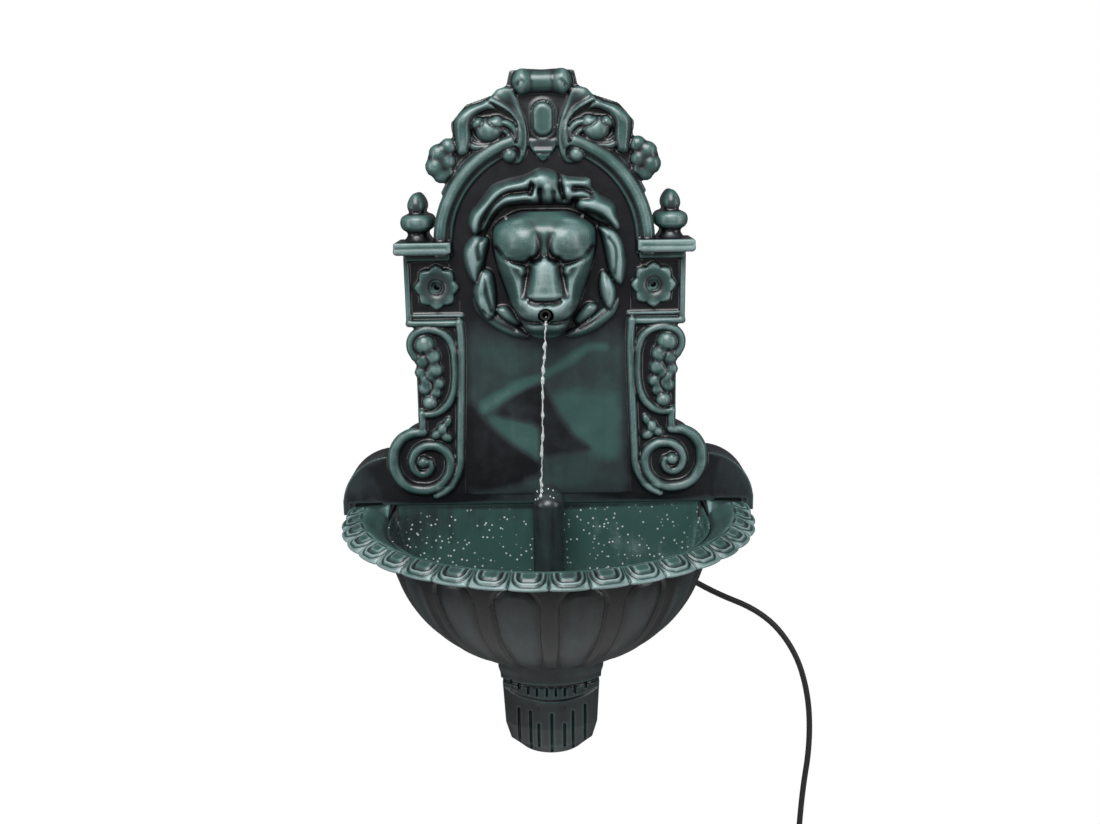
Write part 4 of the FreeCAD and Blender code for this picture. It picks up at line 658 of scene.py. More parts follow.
lead = {  # in metres; the coil's passes are radius and depth in millimetres
    "route": [(0.1324, -0.012, -0.300), (0.1619, -0.012, -0.3206), (0.222, -0.0125, -0.346),
              (0.256, -0.013, -0.388), (0.272, -0.014, -0.440), (0.275, -0.014, -0.498),
              (0.2685, -0.012, -0.556), (0.266, -0.009, -0.640)],
    "ring": (0.233, -0.648), "passes": [(33, 9), (27, 9), (27, 15), (33, 15), (39, 15), (39, 9)],
    "turns": 5, "perTurn": 16, "crossFrom": 155, "crossOver": 50, "foot": (0.2722, -0.0100, -0.670),
    "plugTop": (0.273, -0.012, -0.690), "thick": 0.006, "length": 1.45,
}


def coilTurns():  # each turn crosses to its next pass on the lower left
    points, passes, (x, z) = [], lead["passes"], lead["ring"]
    for step in range(1, lead["turns"] * lead["perTurn"] + 1):
        turn, share = divmod(step / lead["perTurn"], 1)
        blend = ease(min(max((share * 360 - lead["crossFrom"]) / lead["crossOver"], 0), 1))
        now, then = passes[min(int(turn), len(passes) - 1)], passes[min(int(turn) + 1, len(passes) - 1)]
        radius, depth = ((a + (b - a) * blend) / metre for a, b in zip(now, then))
        angle = -2 * math.pi * share
        points.append((x + radius * math.cos(angle), -depth, z + radius * math.sin(angle)))
    return points


leadRoute = lead["route"] + coilTurns() + [lead["foot"], lead["plugTop"]]
leadCurve = bpy.data.curves.new("mainsLead", "CURVE")
leadCurve.dimensions = "3D"
leadCurve.bevel_depth = lead["thick"] / 2
leadCurve.bevel_resolution = 5
leadCurve.resolution_u = 8
leadCurve.use_fill_caps = True
leadSpline = leadCurve.splines.new("NURBS")
leadSpline.points.add(len(leadRoute) - 1)
for knot, place in zip(leadSpline.points, leadRoute):
    knot.co = (*place, 1)
leadSpline.order_u = 3
leadSpline.use_endpoint_u = True
leadCurve.materials.append(finishes["cord"])
mainsLead = bpy.data.objects.new("mainsLead", leadCurve)
bpy.context.collection.objects.link(mainsLead)
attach(mainsLead, "fountain")
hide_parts("mains_cord", "cord_coil", "cord_tail")
print("mains lead laid")


panel = {
    "grain": 1.1, "field": 41.0, "back": 39.6, "fine": 0.8, "spread": 3, "reach": 260, "top": 199,
    "archRidges": [(98.2, 7.0, 0, 74), (89.4, 2.7, 0, 68), (105.6, 2.2, 26, 56)], "archCentre": 41.0,
    "archFoot": 29.5, "shoulder": (104.6, 150, -20, 70, 42.4, 120),
    "rosette": {"x": 103.5, "petals": 8, "radius": 18.6, "tip": 3.3, "heart": 7.6, "hole": 3.0, "seat": 5.8},
    "finial": {"x": 121.0, "depth": 33.5, "ledge": 42.4, "steps": 40},
    "roll": {"half": 17.6, "z": 188.7, "size": 11.5},
}


def archLine(radius, start, end, steps=9):  # right half of an arch ridge
    points = [(radius, panel["archFoot"])] if start == 0 else []
    turns = [math.radians(start + (end - start) * k / steps) for k in range(steps + 1)]
    return points + [(radius * math.cos(a), panel["archCentre"] + radius * math.sin(a)) for a in turns]


strandKnobs = [  # middle, radius, height
    ((117.4, -55.2), 10.6, 9.4), ((111.2, -67), 9.6, 7.6), ((119, -70), 8.6, 6.6), ((121, -82), 7.0, 5.8),
    ((109, -80), 9.0, 7.0), ((115.4, -88), 8.6, 7.2), ((106.2, -93.5), 7.0, 5.4), ((117, -97), 8.0, 6.4),
    ((109, -102), 7.0, 5.6), ((113.6, -111.6), 7.6, 9.4),
]


def strandShape(x, z):
    high = bead(x, z, [(117, -56), (114, -70), (115, -84), (112, -97), (113.4, -111)], (9.0, 6.5), 3.6)
    for at, radius, rise in strandKnobs:
        high = softMax(high, knobOf(x, z, at, radius, rise), 2.6)
    high -= stroke(x, z, [(118, -62), (113, -74), (117, -84), (110, -94), (114, -104)], 1.4, 1.6)
    return np.where(high > 0.3, panel["field"] + high, 0)


bracketRidges = [  # points, sizes, depth, how far it stands out against its width
    ([(83, -34), (81.8, -48), (82.6, -90), (84.2, -130), (85.4, -158), (87, -178), (92, -190), (100, -200),
      (111, -206.5)], [4.2] * 8 + [3.4], 41.6, 1.25),
    ([(126.4, -66.8), (130.4, -58), (128.4, -47.5), (119, -41.2), (106, -41.4), (95.5, -47.5), (89.8, -58.8),
      (88.2, -74.7), (88.6, -92), (92, -106), (98.8, -116.6), (109, -122.6), (121.5, -124)],
     [4.4] * 4 + [4.0] * 8 + [3.6], 41.6, 1.25),
    ([(121.8, -123), (121.6, -132), (122.6, -141)], 4.2, 41.6, 1.2),
    ([(121.9, -141), (136, -143.6), (147.4, -153.4), (151.6, -168.5), (148.6, -184), (139.4, -195), (126, -199.6),
      (111, -197.6), (100.4, -189), (95.8, -177), (97.6, -165), (105, -157.4), (115.3, -155), (125.2, -157.6),
      (131.6, -165.6), (132.6, -175), (128.4, -182), (121, -183.6), (115.8, -178.6), (116.2, -172)],
     [4.8, 5.2, 5.6, 5.8, 5.8, 5.6, 5.6, 5.4, 5.2, 5.2, 5.0, 5.0, 5.0, 4.8, 4.7, 4.5, 4.3, 4.1, 4.0, 4.0],
     41.8, 1.15),
]
bracketLumps = [(107.5, -143.5, 42, 6.4, 4.6, 5.0, -30), (99, -146.5, 42, 6.4, 4.6, 5.0, 35),
                (102.5, -139, 42, 5.0, 6.4, 5.5, 0), (97.5, -132.5, 41.5, 3.6, 6.2, 3.6, 25),
                (122.4, -171.6, 42.5, 6.0, 6.0, 6.5)]
boxRidges = [
    ([(131.6, 28), (131.4, 0), (131.2, -31)], 2.9, 41.2, 1.25),
    ([(131.2, -34.4), (106, -34.6), (82, -34.4)], 3.6, 41.4, 1.25),
    ([(128, -27.2), (106, -27.2), (79.5, -27.4)], 1.6, 41.6, 1.3),
    ([(93, 35.4), (116, 35.4), (138.5, 35.4)], 3.6, 57.4, 1.0),
]


def sideScrolls():  # the right bracket: frame ridge, C scroll, leaf strand and volute
    parts = [reliefPiece(strandShape, (94, 132, -124, -42), panel["fine"], panel["back"])]
    for facts in bracketRidges:
        parts += ridge(*facts)
    return parts + [lump(*facts) for facts in bracketLumps]


def boxFrame():  # frame round the right rosette, with the ledge above
    shelf = block(88, 141.5, 0, 60, 33.6, 43.4)
    cove = slab([(90, 25.5), (132.5, 25.5), (132.8, 29), (135, 32), (139.5, 34.5), (139.5, 36), (90, 36)], 0, 47)
    return sum((ridge(*facts) for facts in boxRidges), []) + [shelf, cove]


finialProfile = [(0, 0), (12.6, 0), (12.4, 2.2), (10.4, 4.4), (8.8, 7.2), (9.4, 9.8), (13.0, 11.8), (15.2, 14.8),
                 (15.8, 18.6), (15.2, 22.4), (12.8, 25.2), (8.2, 26.8), (6.4, 28.0), (7.6, 30.0), (8.6, 33.2),
                 (8.3, 36.8), (6.8, 40.6), (4.4, 44.0), (1.9, 46.2), (0, 46.6)]


def finialPieces():  # a bud on a disc, carried back to the wall
    facts = panel["finial"]
    middle, depth = facts["x"], facts["depth"]
    right = [(middle + r, facts["ledge"] + rise) for r, rise in finialProfile]
    turned = spun(wire([(x, -depth, z) for x, z in right]), facts["steps"], 2 * math.pi, middle, -depth)
    left = [(2 * middle - x, z) for x, z in reversed(right[1:-1])]
    return [outward(turned), slab(right[1:] + left, 0, depth)]


def rosetteShape(x, z):
    facts = panel["rosette"]
    pitch = 360 / facts["petals"]
    radius, angle = np.hypot(x - facts["x"], z), np.degrees(np.arctan2(z, x - facts["x"]))
    off = np.abs(np.mod(angle, pitch) - pitch / 2)
    inside = facts["radius"] + facts["tip"] * (off / (pitch / 2)) ** 0.85 - radius
    high = dome(inside, 3.4, 5.6) - 3.0 * bell(radius, 11.5) - 1.2 * bell(radius - facts["heart"], 0.9)
    high += 0.5 * bell(pitch / 2 - off, 9) * climb(radius, 12, 5)
    high -= 0.5 * bell(off, 6.5) * climb(radius, 12, 6)
    return np.where(inside > 0, panel["field"] - 0.2 + high, 0)


bandEdge = [
    (49.4, 173), (57, 170.6), (68.3, 167), (78.2, 160.2), (82.2, 153), (82.2, 143), (81.2, 132.7),
    (79, 123.5), (71, 124), (67.2, 131.2), (65.9, 138.8), (66, 147.7), (63.4, 155.6), (57, 161.2),
    (49, 163.8), (42.5, 164.4),
]
wingEdge = [
    (49.4, 172.3), (42.1, 181.8), (35.6, 184), (27.2, 183.4), (24.8, 177.8), (21.7, 168.4), (17.4, 158.3),
    (14.1, 145.6), (13.8, 134.3), (15.8, 124.1), (20.8, 115.4), (29.3, 114.4), (36.6, 118.6), (38.0, 124.6),
    (34.4, 129.4), (29.4, 130.8), (25.6, 133.6), (23.0, 139.4), (23.4, 149.8), (28.4, 158.9), (36, 164.6),
    (43.7, 168.6),
]
plateEdge = [
    (-22.6, 178), (-18.4, 158.3), (-13.6, 141.8), (-13.2, 131.7), (-7.4, 122.8), (0, 116.2), (7.4, 122.8),
    (13.2, 131.7), (13.6, 141.8), (18.4, 158.3), (22.6, 178),
]


crownBalls = [((88.4, 130.8), 8.4, 7.8), ((97.4, 124.6), 9.6, 9.2), ((100.4, 113.2), 10.2, 9.8),
              ((95.6, 105.4), 8.2, 8.2), ((89.8, 108.4), 6.8, 6.4), ((90.6, 118), 9.4, 8.4)]


# Ridges and cuts of the crown: path, width, height at both ends
flapCuts = [([(24.4, 128.4), (23.2, 121.6), (28.6, 116.4), (36.4, 117.6)], 1.5, 2.8, 0.4)]
budCuts = [([(39.5, 147.4), (45, 148.8), (50, 153), (51, 158)], 1.3, 2.2, 2.2),
           ([(62, 147), (57.5, 149.4), (54.6, 154.4)], 1.2, 2.2, 1.6)]
flapRidges = [([(49, 172.4), (41.1, 168.4), (33.5, 163.2), (26.6, 155), (22.4, 146.4), (21.4, 138),
                (22.6, 131.4)], 3.0, 5.4, 4.2),
              ([(24.8, 178), (20, 163), (16.2, 150), (15.6, 136), (18, 123)], 3.4, 1.2, 3.2)]
crownBeads = [  # path, radius at both ends, height
    ([(41, 151), (35, 151.6), (29.4, 149), (25.2, 143.6), (24.8, 138.4), (30.4, 135)], (3.8, 3.4), 6.6),
    ([(39.6, 146.4), (34.6, 144), (30.6, 139.8), (31, 136.4)], (2.8, 2.2), 4.6),
    ([(71, 134), (66.8, 131.6), (60.6, 129.8), (52.4, 130.6), (43.3, 132.4), (33, 136.4)], (4.0, 3.0), 5.6),
    ([(67, 140), (62.4, 135.6), (55.6, 134.4), (48, 135)], (2.2, 1.6), 3.4),
]
plateBeads = [([(-7.4, 126.6), (0.6, 126.4), (8.6, 126.5)], (2.0, 2.0), 3.2),
              ([(-4.2, 122.2), (0.6, 122.1), (5.4, 122.2)], (1.6, 1.6), 2.6)]
rollCuts = [([(-22.8, 186.2), (-20.4, 189.4), (-17.2, 188)], 1.7, 2.6, 0.8),
            ([(16.8, 189.6), (19.2, 188.4), (21.6, 184.6)], 1.7, 0.8, 2.6)]


def wingShape(side, z):  # the leaf flap beside the middle plate
    wing = insideOf(side, z, wingEdge)
    flap = dome(wing, 3.4, 4.0) + strokes(side, z, flapRidges) + swell(side, z, (38, 176), 8, 7, 2.2)
    flap = softMax(np.where(wing > 0, flap, 0), knobOf(side, z, (31, 122.6), 7.6, 9.6), 0.8)
    return flap - strokes(side, z, flapCuts)


def budShape(side, z):
    bud = softMax(knobOf(side, z, (50, 145.6), 12.8, 10.4, 0.92), knobOf(side, z, (59.2, 150.6), 7.0, 8.6), 3.0)
    return softMax(bud, knobOf(side, z, (42.6, 151.0), 7.6, 8.4), 3.0) - strokes(side, z, budCuts)


def ballShape(side, z):  # the cluster of knobs at the crown's end
    balls = np.zeros(len(side))
    for at, radius, rise in crownBalls:
        balls = softMax(balls, knobOf(side, z, at, radius, rise), 3.2)
    return np.where(balls > 0.6, balls, 0)


def plateShape(x, z):  # the middle plate with its long jewel
    middle = insideOf(x, z, plateEdge)
    jewel = np.hypot(x - 0.3, z - np.clip(z, 149, 160.6))
    plate = dome(middle, 1.6, 2.4) + 1.5 * bell(jewel - 12.0, 0.9) - 1.4 * bell(jewel - 10.4, 0.9)
    plate = np.maximum(plate, 1.2 + dome(9.9 - jewel, 4.6, 6.0))
    plate = np.where(z > 136, plate, plate + 1.2)
    for facts in plateBeads:
        plate = np.maximum(plate, 2.4 + bead(x, z, *facts))
    return np.where(middle > 0, plate, 0)


def rollShape(x, z):
    side = np.abs(x)
    size = 10.4 + 2.0 * bell(side - 19.0, 6.0)
    reach = size ** 2 - (z - panel["roll"]["z"]) ** 2 - np.maximum(side - panel["roll"]["half"], 0) ** 2
    roll = 1.2 * np.sqrt(np.clip(reach, 0, None)) - strokes(x, z, rollCuts)
    return roll - 0.7 * bell(side - 9.8, 1.5) * (roll > 1)


def crownShape(x, z):
    side = np.abs(x)
    band = insideOf(side, z, bandEdge)
    high = np.where(band > 0, dome(band, 7.8, 9.4) + swell(side, z, (72, 158), 10, 7, 1.6, -35), 0)
    layers = [wingShape(side, z), budShape(side, z)] + [bead(side, z, *facts) for facts in crownBeads]
    for layer in layers + [ballShape(side, z), plateShape(x, z), rollShape(x, z)]:
        high = np.maximum(high, layer)
    return np.where(high > 0.25, panel["field"] - 0.1 + high, 0)


def rollBack(steps=24):  # the roll carried back to the wall
    facts = panel["roll"]
    turns = [math.radians(-90 + 180 * k / steps) for k in range(steps + 1)]
    size = facts["size"]
    end = [(facts["half"] + size * math.cos(a), facts["z"] + size * math.sin(a)) for a in turns]
    crest = [(9, 199.9), (0, 199.4), (-9, 199.9)]
    return slab(end + crest + [(-x, z) for x, z in reversed(end)], 0, panel["field"] + 0.2)


def buildPanel():
    shell = cadCopy("back_panel", "panelCast")
    field, reach, rosette = panel["field"], panel["reach"], panel["rosette"]
    carve(shell, block(-reach, reach, -20, field, -reach, panel["top"]), "INTERSECT")
    near, far, back, front, low, high = panel["shoulder"]
    for x0, x1 in ((near, far), (-far, -near)):
        carve(shell, block(x0, x1, back, front, low, high))
    right = sideScrolls() + boxFrame() + finialPieces()
    right.append(reliefPiece(rosetteShape, (80, 128, -24, 24), panel["fine"], panel["back"]))
    right += [disc(x, z, radius * 0.96, 0, field, 40) for (x, z), radius, rise in crownBalls]
    for radius, size, start, end in panel["archRidges"]:
        right += ridge(archLine(radius, start, end), size, field + 0.4, 1.15, False)
    crown = reliefPiece(crownShape, (-110, 110, 96, 202), 0.9, panel["back"])
    parts = [shell, rollBack(), crown] + right + flipped(right)
    whole = weld("panelCast", parts, panel["grain"], panel["spread"])
    for x in (rosette["x"], -rosette["x"]):
        carve(whole, disc(x, 0, rosette["hole"], -5, 70, 32))
        carve(whole, disc(x, 0, rosette["seat"], 43.2, 70, 40))
    return whole


fieldTones = [  # patches of tone on the flat field, its light bands and dark wedges painted reflections: outline, tone, softness of the edge
    ([(6, -106), (27, -102), (53, -107), (71, -113), (71, -167), (52, -168), (40, -160), (25, -144), (12, -124)],
     0.86, 12),
    ([(-76, -117), (-64, -126), (-47, -143), (-27, -160), (-10, -172), (-8, -185), (-22, -191), (-33, -197),
      (-78, -196)], 0.14, 9),
    ([(-56, -129), (-26, -133), (-8, -142), (-9, -170), (-19, -165), (-40, -149)], 0.86, 7),
    ([(-6, -94), (-31, -106), (-50, -123), (-31, -131), (-8, -138), (-6, -166), (13, -166), (42, -161), (25, -146),
      (11, -125), (3, -109)], 0.22, 6),
    ([(58, -57), (44, -55), (32, -61), (14, -72), (-4, -85), (-25, -90), (-48, -103), (-65, -113), (-63, -124),
      (-49, -116), (-31, -105), (-7, -94), (7, -85), (27, -75), (42, -63), (58, -62)], 0.95, 6),
]


def fieldShape(x, z):
    inside = (z > -206.5) & (((np.abs(x) < 83) & (z < 42)) | (np.hypot(x, z - panel["archCentre"]) < 95))
    return np.where(inside, 41.2, 0)


def toneField(piece):
    points = readPoints(piece.data) * metre
    x, z = points[:, 0], points[:, 2]
    tone = np.full(len(points), 0.58)
    for outline, value, soft in fieldTones:
        tone += (value - tone) * np.clip(0.5 + insideOf(x, z, outline) / soft, 0, 1)
    # painted shade beside the frame ridges
    tone -= 0.5 * np.clip(1 - (84 - np.abs(x)) / 13, 0, 1) * (z < 42)
    # painted shade over the recessed arch field round the mane
    tone += (0.06 - tone) * climb(z, -62, 34)
    # darker towards the bottom
    writeLayer(piece, "raised", np.clip(tone - 0.15 * climb(-z, 194, 12), -0.4, 1))


flats = {"ground": (38, 43), "shoulderTop": -150, "ledge": -196, "inner": 110, "groundTone": -0.42,
         "shoulderTone": -0.30, "ledgeHighlight": 0.60}


def darkenFlats(piece):  # the flat ground between the mouldings and the shoulders' tops darker; the ledge at the foot painted lighter, a painted highlight along its lip
    (x, y, z), normals = readPoints(piece.data).T * metre, readNormals(piece.data)
    near, far = flats["ground"]
    ground = (y > -far) & (y < -near) & (normals[:, 1] < -0.8)
    above = (z < flats["shoulderTop"]) & (normals[:, 2] > 0.5) & (np.abs(x) > flats["inner"])
    ledge = (z < flats["ledge"]) & (y < -42.5) & (np.abs(x) < flats["inner"])
    shade = flats["groundTone"] * ground + flats["shoulderTone"] * above + flats["ledgeHighlight"] * ledge
    writeRaised(piece, readRaised(piece) + shade)


panelPiece = buildPanel()
patinaAndShadeMap(panelPiece)
hollowShadeMap(panelPiece, 0.034)
darkenFlats(panelPiece)
thin(panelPiece)
finish(panelPiece, "fountain", ["back_panel"], panelCast)
fieldPiece = reliefPiece(fieldShape, (-96, 96, -208, 138), 1.5, 39.4)
fieldPiece.name = "panelField"
toneField(fieldPiece)
finish(fieldPiece, "fountain", ["back_panel"], panelCast)
print("panel moulded")


mask = {"grain": 0.85, "spread": 2, "cell": 0.75, "mouth": (0.5, -23.5, 7.4), "mouthDepth": (62, 110),
        "ground": 41.5, "box": (-79.0, 79.0, -57.0, 116.0), "oval": (22, 70, 62, 20), "fuller": (1.12, 1.06)}
maneEdge = [
    (-67.5, 51), (-71.5, 60), (-69.5, 70.5), (-62.5, 79), (-54.5, 89.5), (-47.5, 96.5), (-34.5, 101.5),
    (-22, 104), (-13.5, 107), (-5, 111), (6, 110), (14.5, 106.5), (24, 103), (43, 101.2), (45.5, 93),
    (53, 86.5), (66, 77.5), (69, 66), (71.5, 55), (67.5, 52.5), (58, 57.5), (47, 62), (35.5, 70), (22.5, 76.4),
    (0.5, 77.2), (-22, 77), (-38.5, 74.5), (-49.5, 66), (-55.5, 55), (-60, 50.5),
]
sideLocks = [  # outline, height above the ground, roundness
    ([(-66.1, 48.5), (-75.2, 37.5), (-75.7, 23.8), (-71.4, 10.2), (-64.5, 3.4), (-60.2, 11.2), (-57.5, 23.8),
      (-53.8, 41.7), (-57.5, 46.9)],
     15.4, 10.1),
    ([(-60.3, 16), (-67.3, 1.3), (-65.1, -15.5), (-56, -29.6), (-49.1, -24.9), (-47.5, -10.2), (-48.5, 4.5),
      (-51.7, 13.9)],
     14.3, 9),
    ([(52.7, 54.7), (65.6, 52), (74.1, 38.4), (76.3, 19.5), (72.5, 3.2), (66.1, 4.8), (60.8, 17.4), (57.5, 34.2),
      (54.9, 45.8)],
     15.4, 10.1),
    ([(54.7, 12.8), (52, 2.3), (53.6, -10.3), (60.1, -21.9), (65.9, -14.5), (66.5, -1.9), (61.1, 8.6)],
     14.3, 9),
    ([(-66, -10.9), (-63.4, -24.6), (-50.5, -37.2), (-37.7, -45.1), (-21.6, -50.3), (-18.4, -44.5),
      (-29.1, -38.2), (-42, -29.8), (-54.8, -20.4)],
     6.1, 7.8),
    ([(68, -13), (64.8, -26.7), (53.5, -38.2), (40.7, -45.6), (24.6, -49.8), (22, -44.5), (32.1, -38.2),
      (45, -29.8), (57.8, -19.3)],
     6.1, 7.8),
    ([(-46.8, -21.7), (-40.4, -31.1), (-29.7, -37.4), (-24.3, -34.3), (-29.7, -25.9), (-38.2, -18.5)],
     7.7, 6.7),
    ([(48.7, -20.7), (42.3, -30.2), (32.7, -36.5), (28.4, -32.3), (32.7, -23.9), (41.2, -16.5)],
     7.7, 6.7),
]
faceEdge = [  # height, half width
    (-47, 3), (-46, 11), (-43, 17.5), (-37, 22), (-25, 28), (-14, 33), (-4, 36.5), (6, 40), (18, 44),
    (30, 46.8), (40, 48.4), (50, 48.8), (57, 46.6), (62, 41.5), (66, 35), (70, 26), (72, 16)
]
faceDepth = [  # height, depth on the middle line
    (-47, 56), (-43, 64), (-37, 71), (-30, 75), (-23, 83), (-14, 84.5), (-6, 81), (4, 77), (16, 75),
    (28, 76), (40, 79), (50, 80), (57, 78), (63, 73), (69, 65.5), (72, 60)
]


maneStrokes = [  # path, width, height at both ends
    ([(-12, 98), (-20, 95.5), (-33, 92.5), (-43.5, 86), (-51, 78), (-60, 69), (-63.5, 60), (-63, 54)],
     4.6, 4.6, 3.6),
    ([(-10.5, 83), (-20.5, 83.5), (-31, 82.5), (-41, 78), (-48, 70), (-52, 61.5), (-56, 55)], 4.6, 3.4, 4.2),
    ([(-11.5, 95), (-15, 90.6), (-23, 89), (-35.6, 87), (-46, 79), (-54, 68), (-59, 57), (-60, 50)],
     3.0, -3.6, -7.5),
    ([(-8.6, 90), (-8.6, 80)], 3.2, 2.4, 1.2), ([(3.5, 92), (4.4, 80)], 3.4, 2.8, 1.6),
    ([(-11.5, 98.5), (-10.4, 93), (-12, 88)], 2.4, -3.2, -5.5), ([(-3.6, 90.5), (-3.0, 80)], 2.0, -5.0, -4.0),
    ([(9.6, 88), (9.8, 78)], 1.8, -2.0), ([(15.2, 106), (15.6, 98), (16.6, 90.5), (19.4, 82)], 2.5, -5.5, -9.0),
    ([(20, 98), (28, 98.2), (42, 96.4)], 4.4, 3.2, 4.4),
    ([(29, 91.6), (34, 91.8), (39, 90.6), (44, 87.6)], 2.4, -4.4, -5.6),
    ([(29.5, 86.5), (36, 87.2), (42, 85.4)], 2.4, 1.6), ([(28, 80), (34, 81.5), (46, 83.6)], 2.4, -5.0, -2.0),
    ([(37, 77), (48.5, 75.5), (59, 70.5), (66.5, 60)], 6.4, 5.4, 4.0),
    ([(40, 70.5), (50, 66.5), (60, 60), (64, 55)], 2.6, -2.4, -4.6),
]
maneSwells = [((-31, 82.5), 8, 4.4, 2.2, -8), ((-1.5, 99.5), 10, 8.5, 6.0), ((6, 93), 6.5, 7.5, 2.4),
              ((22.5, 87.5), 5.0, 6.0, 5.5), ((28, 77.5), 4.0, 4.4, -8.0), ((54, 88.5), 5, 3, -1.5)]
lockMarks = [([(61, 46), (66.5, 36), (67.5, 22), (66, 12)], 2.0, 3.2, 1.6),
             ([(-59, 45), (-62.5, 38), (-61.5, 28)], 2.4, 2.6, 3.2),
             ([(-57, 12), (-56, 0), (-53.5, -12), (-51, -22)], 2.0, 2.2, 3.4),
             ([(57.5, 8), (60, -4), (60, -14)], 1.8, 2.6, 1.4),
             ([(-59, -22), (-46, -34), (-30, -42.5)], 1.8, 2.0),
             ([(60, -22), (47, -34), (32, -42.5)], 1.8, 2.0)]
lockSwells = [((-58, 4), 3.4, 7, 2.4, -10), ((-60, -14), 3.4, 6, 1.8), ((58.5, -1), 3, 6, 2.0)]


def maneShape(x, z):
    inside = insideOf(x, z, maneEdge)
    high = dome(inside, 9.5, 13.5) + strokes(x, z, maneStrokes) + swells(x, z, maneSwells)
    return np.where(inside > 0, mask["ground"] + 1.5 + np.maximum(high, 0.5), 0)


def locksShape(x, z):
    rise = np.zeros(len(x))
    for outline, high, roundness in sideLocks:
        middle = np.mean(outline, 0)
        fuller = [tuple(middle + (np.array(corner) - middle) * mask["fuller"]) for corner in outline]
        rise = softMax(rise, dome(insideOf(x, z, fuller), roundness, high), 3.5)
    depth = mask["ground"] + 0.8 + rise - 0.7 * (strokes(x, z, lockMarks) - swells(x, z, lockSwells))
    return np.where(rise > 0.3, depth, 0)


faceStrokes = [  # cheek and brow first, then the valleys: path, width, height at both ends
    ([(38, 27), (31, 17), (25.5, 5), (22, -8)], 6.5, 3.0, 4.4),
    ([(38, 30.5), (31, 25), (23, 20.5), (20, 16)], 2.6, 2.2, 3.4),
]
faceCuts = [
    ([(45, 38), (39, 31.5), (31, 26.5), (23, 24), (17, 24.4), (13, 28)], 2.5, 4.4, 5.2),
    ([(11, 27.5), (6.6, 31), (4.8, 37), (4.8, 44), (6.5, 50)], 3.0, 5.2, 1.2),
    ([(15.5, 20), (16.6, 13), (18.2, 4), (20.5, -6)], 3.2, 5.2, 2.6),
    ([(13, -10.5), (8, -12.2), (4, -11.5)], 3.4, 3.0, 2.2), ([(0.1, -12), (0.1, -17)], 2.0, 1.8, 0.6),
    ([(4, -31), (12, -31.4), (22, -28.6), (27, -25)], 2.2, 3.4, 4.2),
    ([(33, 8), (30, -4), (27.5, -18)], 4.5, 1.0, 2.6),
]
# Height and half width, height and depth
noseWidth = [(-10, 14.6), (-4, 14.8), (6, 12.8), (16, 10.8), (22, 9.6), (25.5, 6.0), (28, 0.5)]
noseDepth = [(-14, 66), (-11, 80), (-8.5, 89), (-5, 93.6), (4, 92.2), (16, 88.8), (26, 85.6), (28.5, 83),
             (33, 70), (37, 40)]
brow = {"x": 24, "z": 42, "turn": 10, "wide": 22, "low": 15.5, "high": 26, "deep": 5.8}


def lookUp(z, rows):  # the value at each height, from rows of height and value
    heights, values = np.array(rows).T
    return np.interp(z, heights, values)


def lionFace(x, z):  # how far the face stands out at each place
    side = np.abs(x)
    half = np.where((z > -46.8) & (z < 71.4), lookUp(z, flow(faceEdge)), 0)
    share = np.clip(side / np.maximum(half, 1), 0, 1)
    depth = 46 + (lookUp(z, flow(faceDepth)) - 46) * roundOff(share ** 2.6)
    turn, across, up = math.radians(brow["turn"]), side - brow["x"], z - brow["z"]
    lobeX = across * math.cos(turn) - up * math.sin(turn)
    lobeZ = across * math.sin(turn) + up * math.cos(turn)
    tall = np.where(lobeZ < 0, brow["low"], brow["high"])
    reach = np.clip(1 - (lobeX / brow["wide"]) ** 2 - (lobeZ / tall) ** 2, 0, 1)
    depth += brow["deep"] * reach ** np.interp(lobeZ, [-9, 9], [0.5, 1.3])
    depth += swell(side, z, (27, 64), 17, 3.4, 1.9, -10) + strokes(side, z, faceStrokes)
    muzzle = np.clip(1 - ((side - 10) / 17.5) ** 2 - ((z + 18) / 12.5) ** 2, 0, 1)
    depth += 4.0 * muzzle ** 0.8
    nose = lookUp(z, noseDepth) - 15 * (side / (lookUp(z, noseWidth) + 3.6)) ** 3.4 - 0.006 * side ** 2
    chin = np.clip(1 - (side / 22) ** 2 - ((z + 38.5) / 8.6) ** 2, 0, 1)
    depth = softMax(nose, depth, 3.0) + 4.0 * chin ** 0.7
    depth -= strokes(side, z, faceCuts) + swell(side, z, (0, 64.5), 14, 5, 0.8)
    return np.where(half > side, depth, 0)


def lionShape(x, z):
    middle, tall, wide, corners = mask["oval"]
    turns = [2 * math.pi * k / corners for k in range(corners)]
    ring = [(wide * math.cos(a), middle + tall * math.sin(a)) for a in turns]
    oval = dome(insideOf(x, z, ring), 5, 2.6)
    depth = np.where(oval > 0, mask["ground"] - 1.4 + oval, 0)
    for shape in (locksShape, maneShape, lionFace):
        depth = np.maximum(depth, shape(x, z))
    return depth


def buildMask():
    relief = reliefPiece(lionShape, mask["box"], mask["cell"], panel["back"] - 0.2)
    whole = weld("lionCast", [relief], mask["grain"], mask["spread"])
    carve(whole, disc(*mask["mouth"], *mask["mouthDepth"], 48))
    soften(whole, 3)
    return whole


maskPiece = buildMask()
patinaAndShadeMap(maskPiece, 6, 60)
hollowShadeMap(maskPiece, 0.050)
chinShade = climb(-readPoints(maskPiece.data)[:, 2] * metre, 26, 12)
writeRaised(maskPiece, readRaised(maskPiece) - 0.22 * chinShade)
thin(maskPiece)
finish(maskPiece, "fountain", ["lion_mask"], maskCast)
print("lion mask moulded")


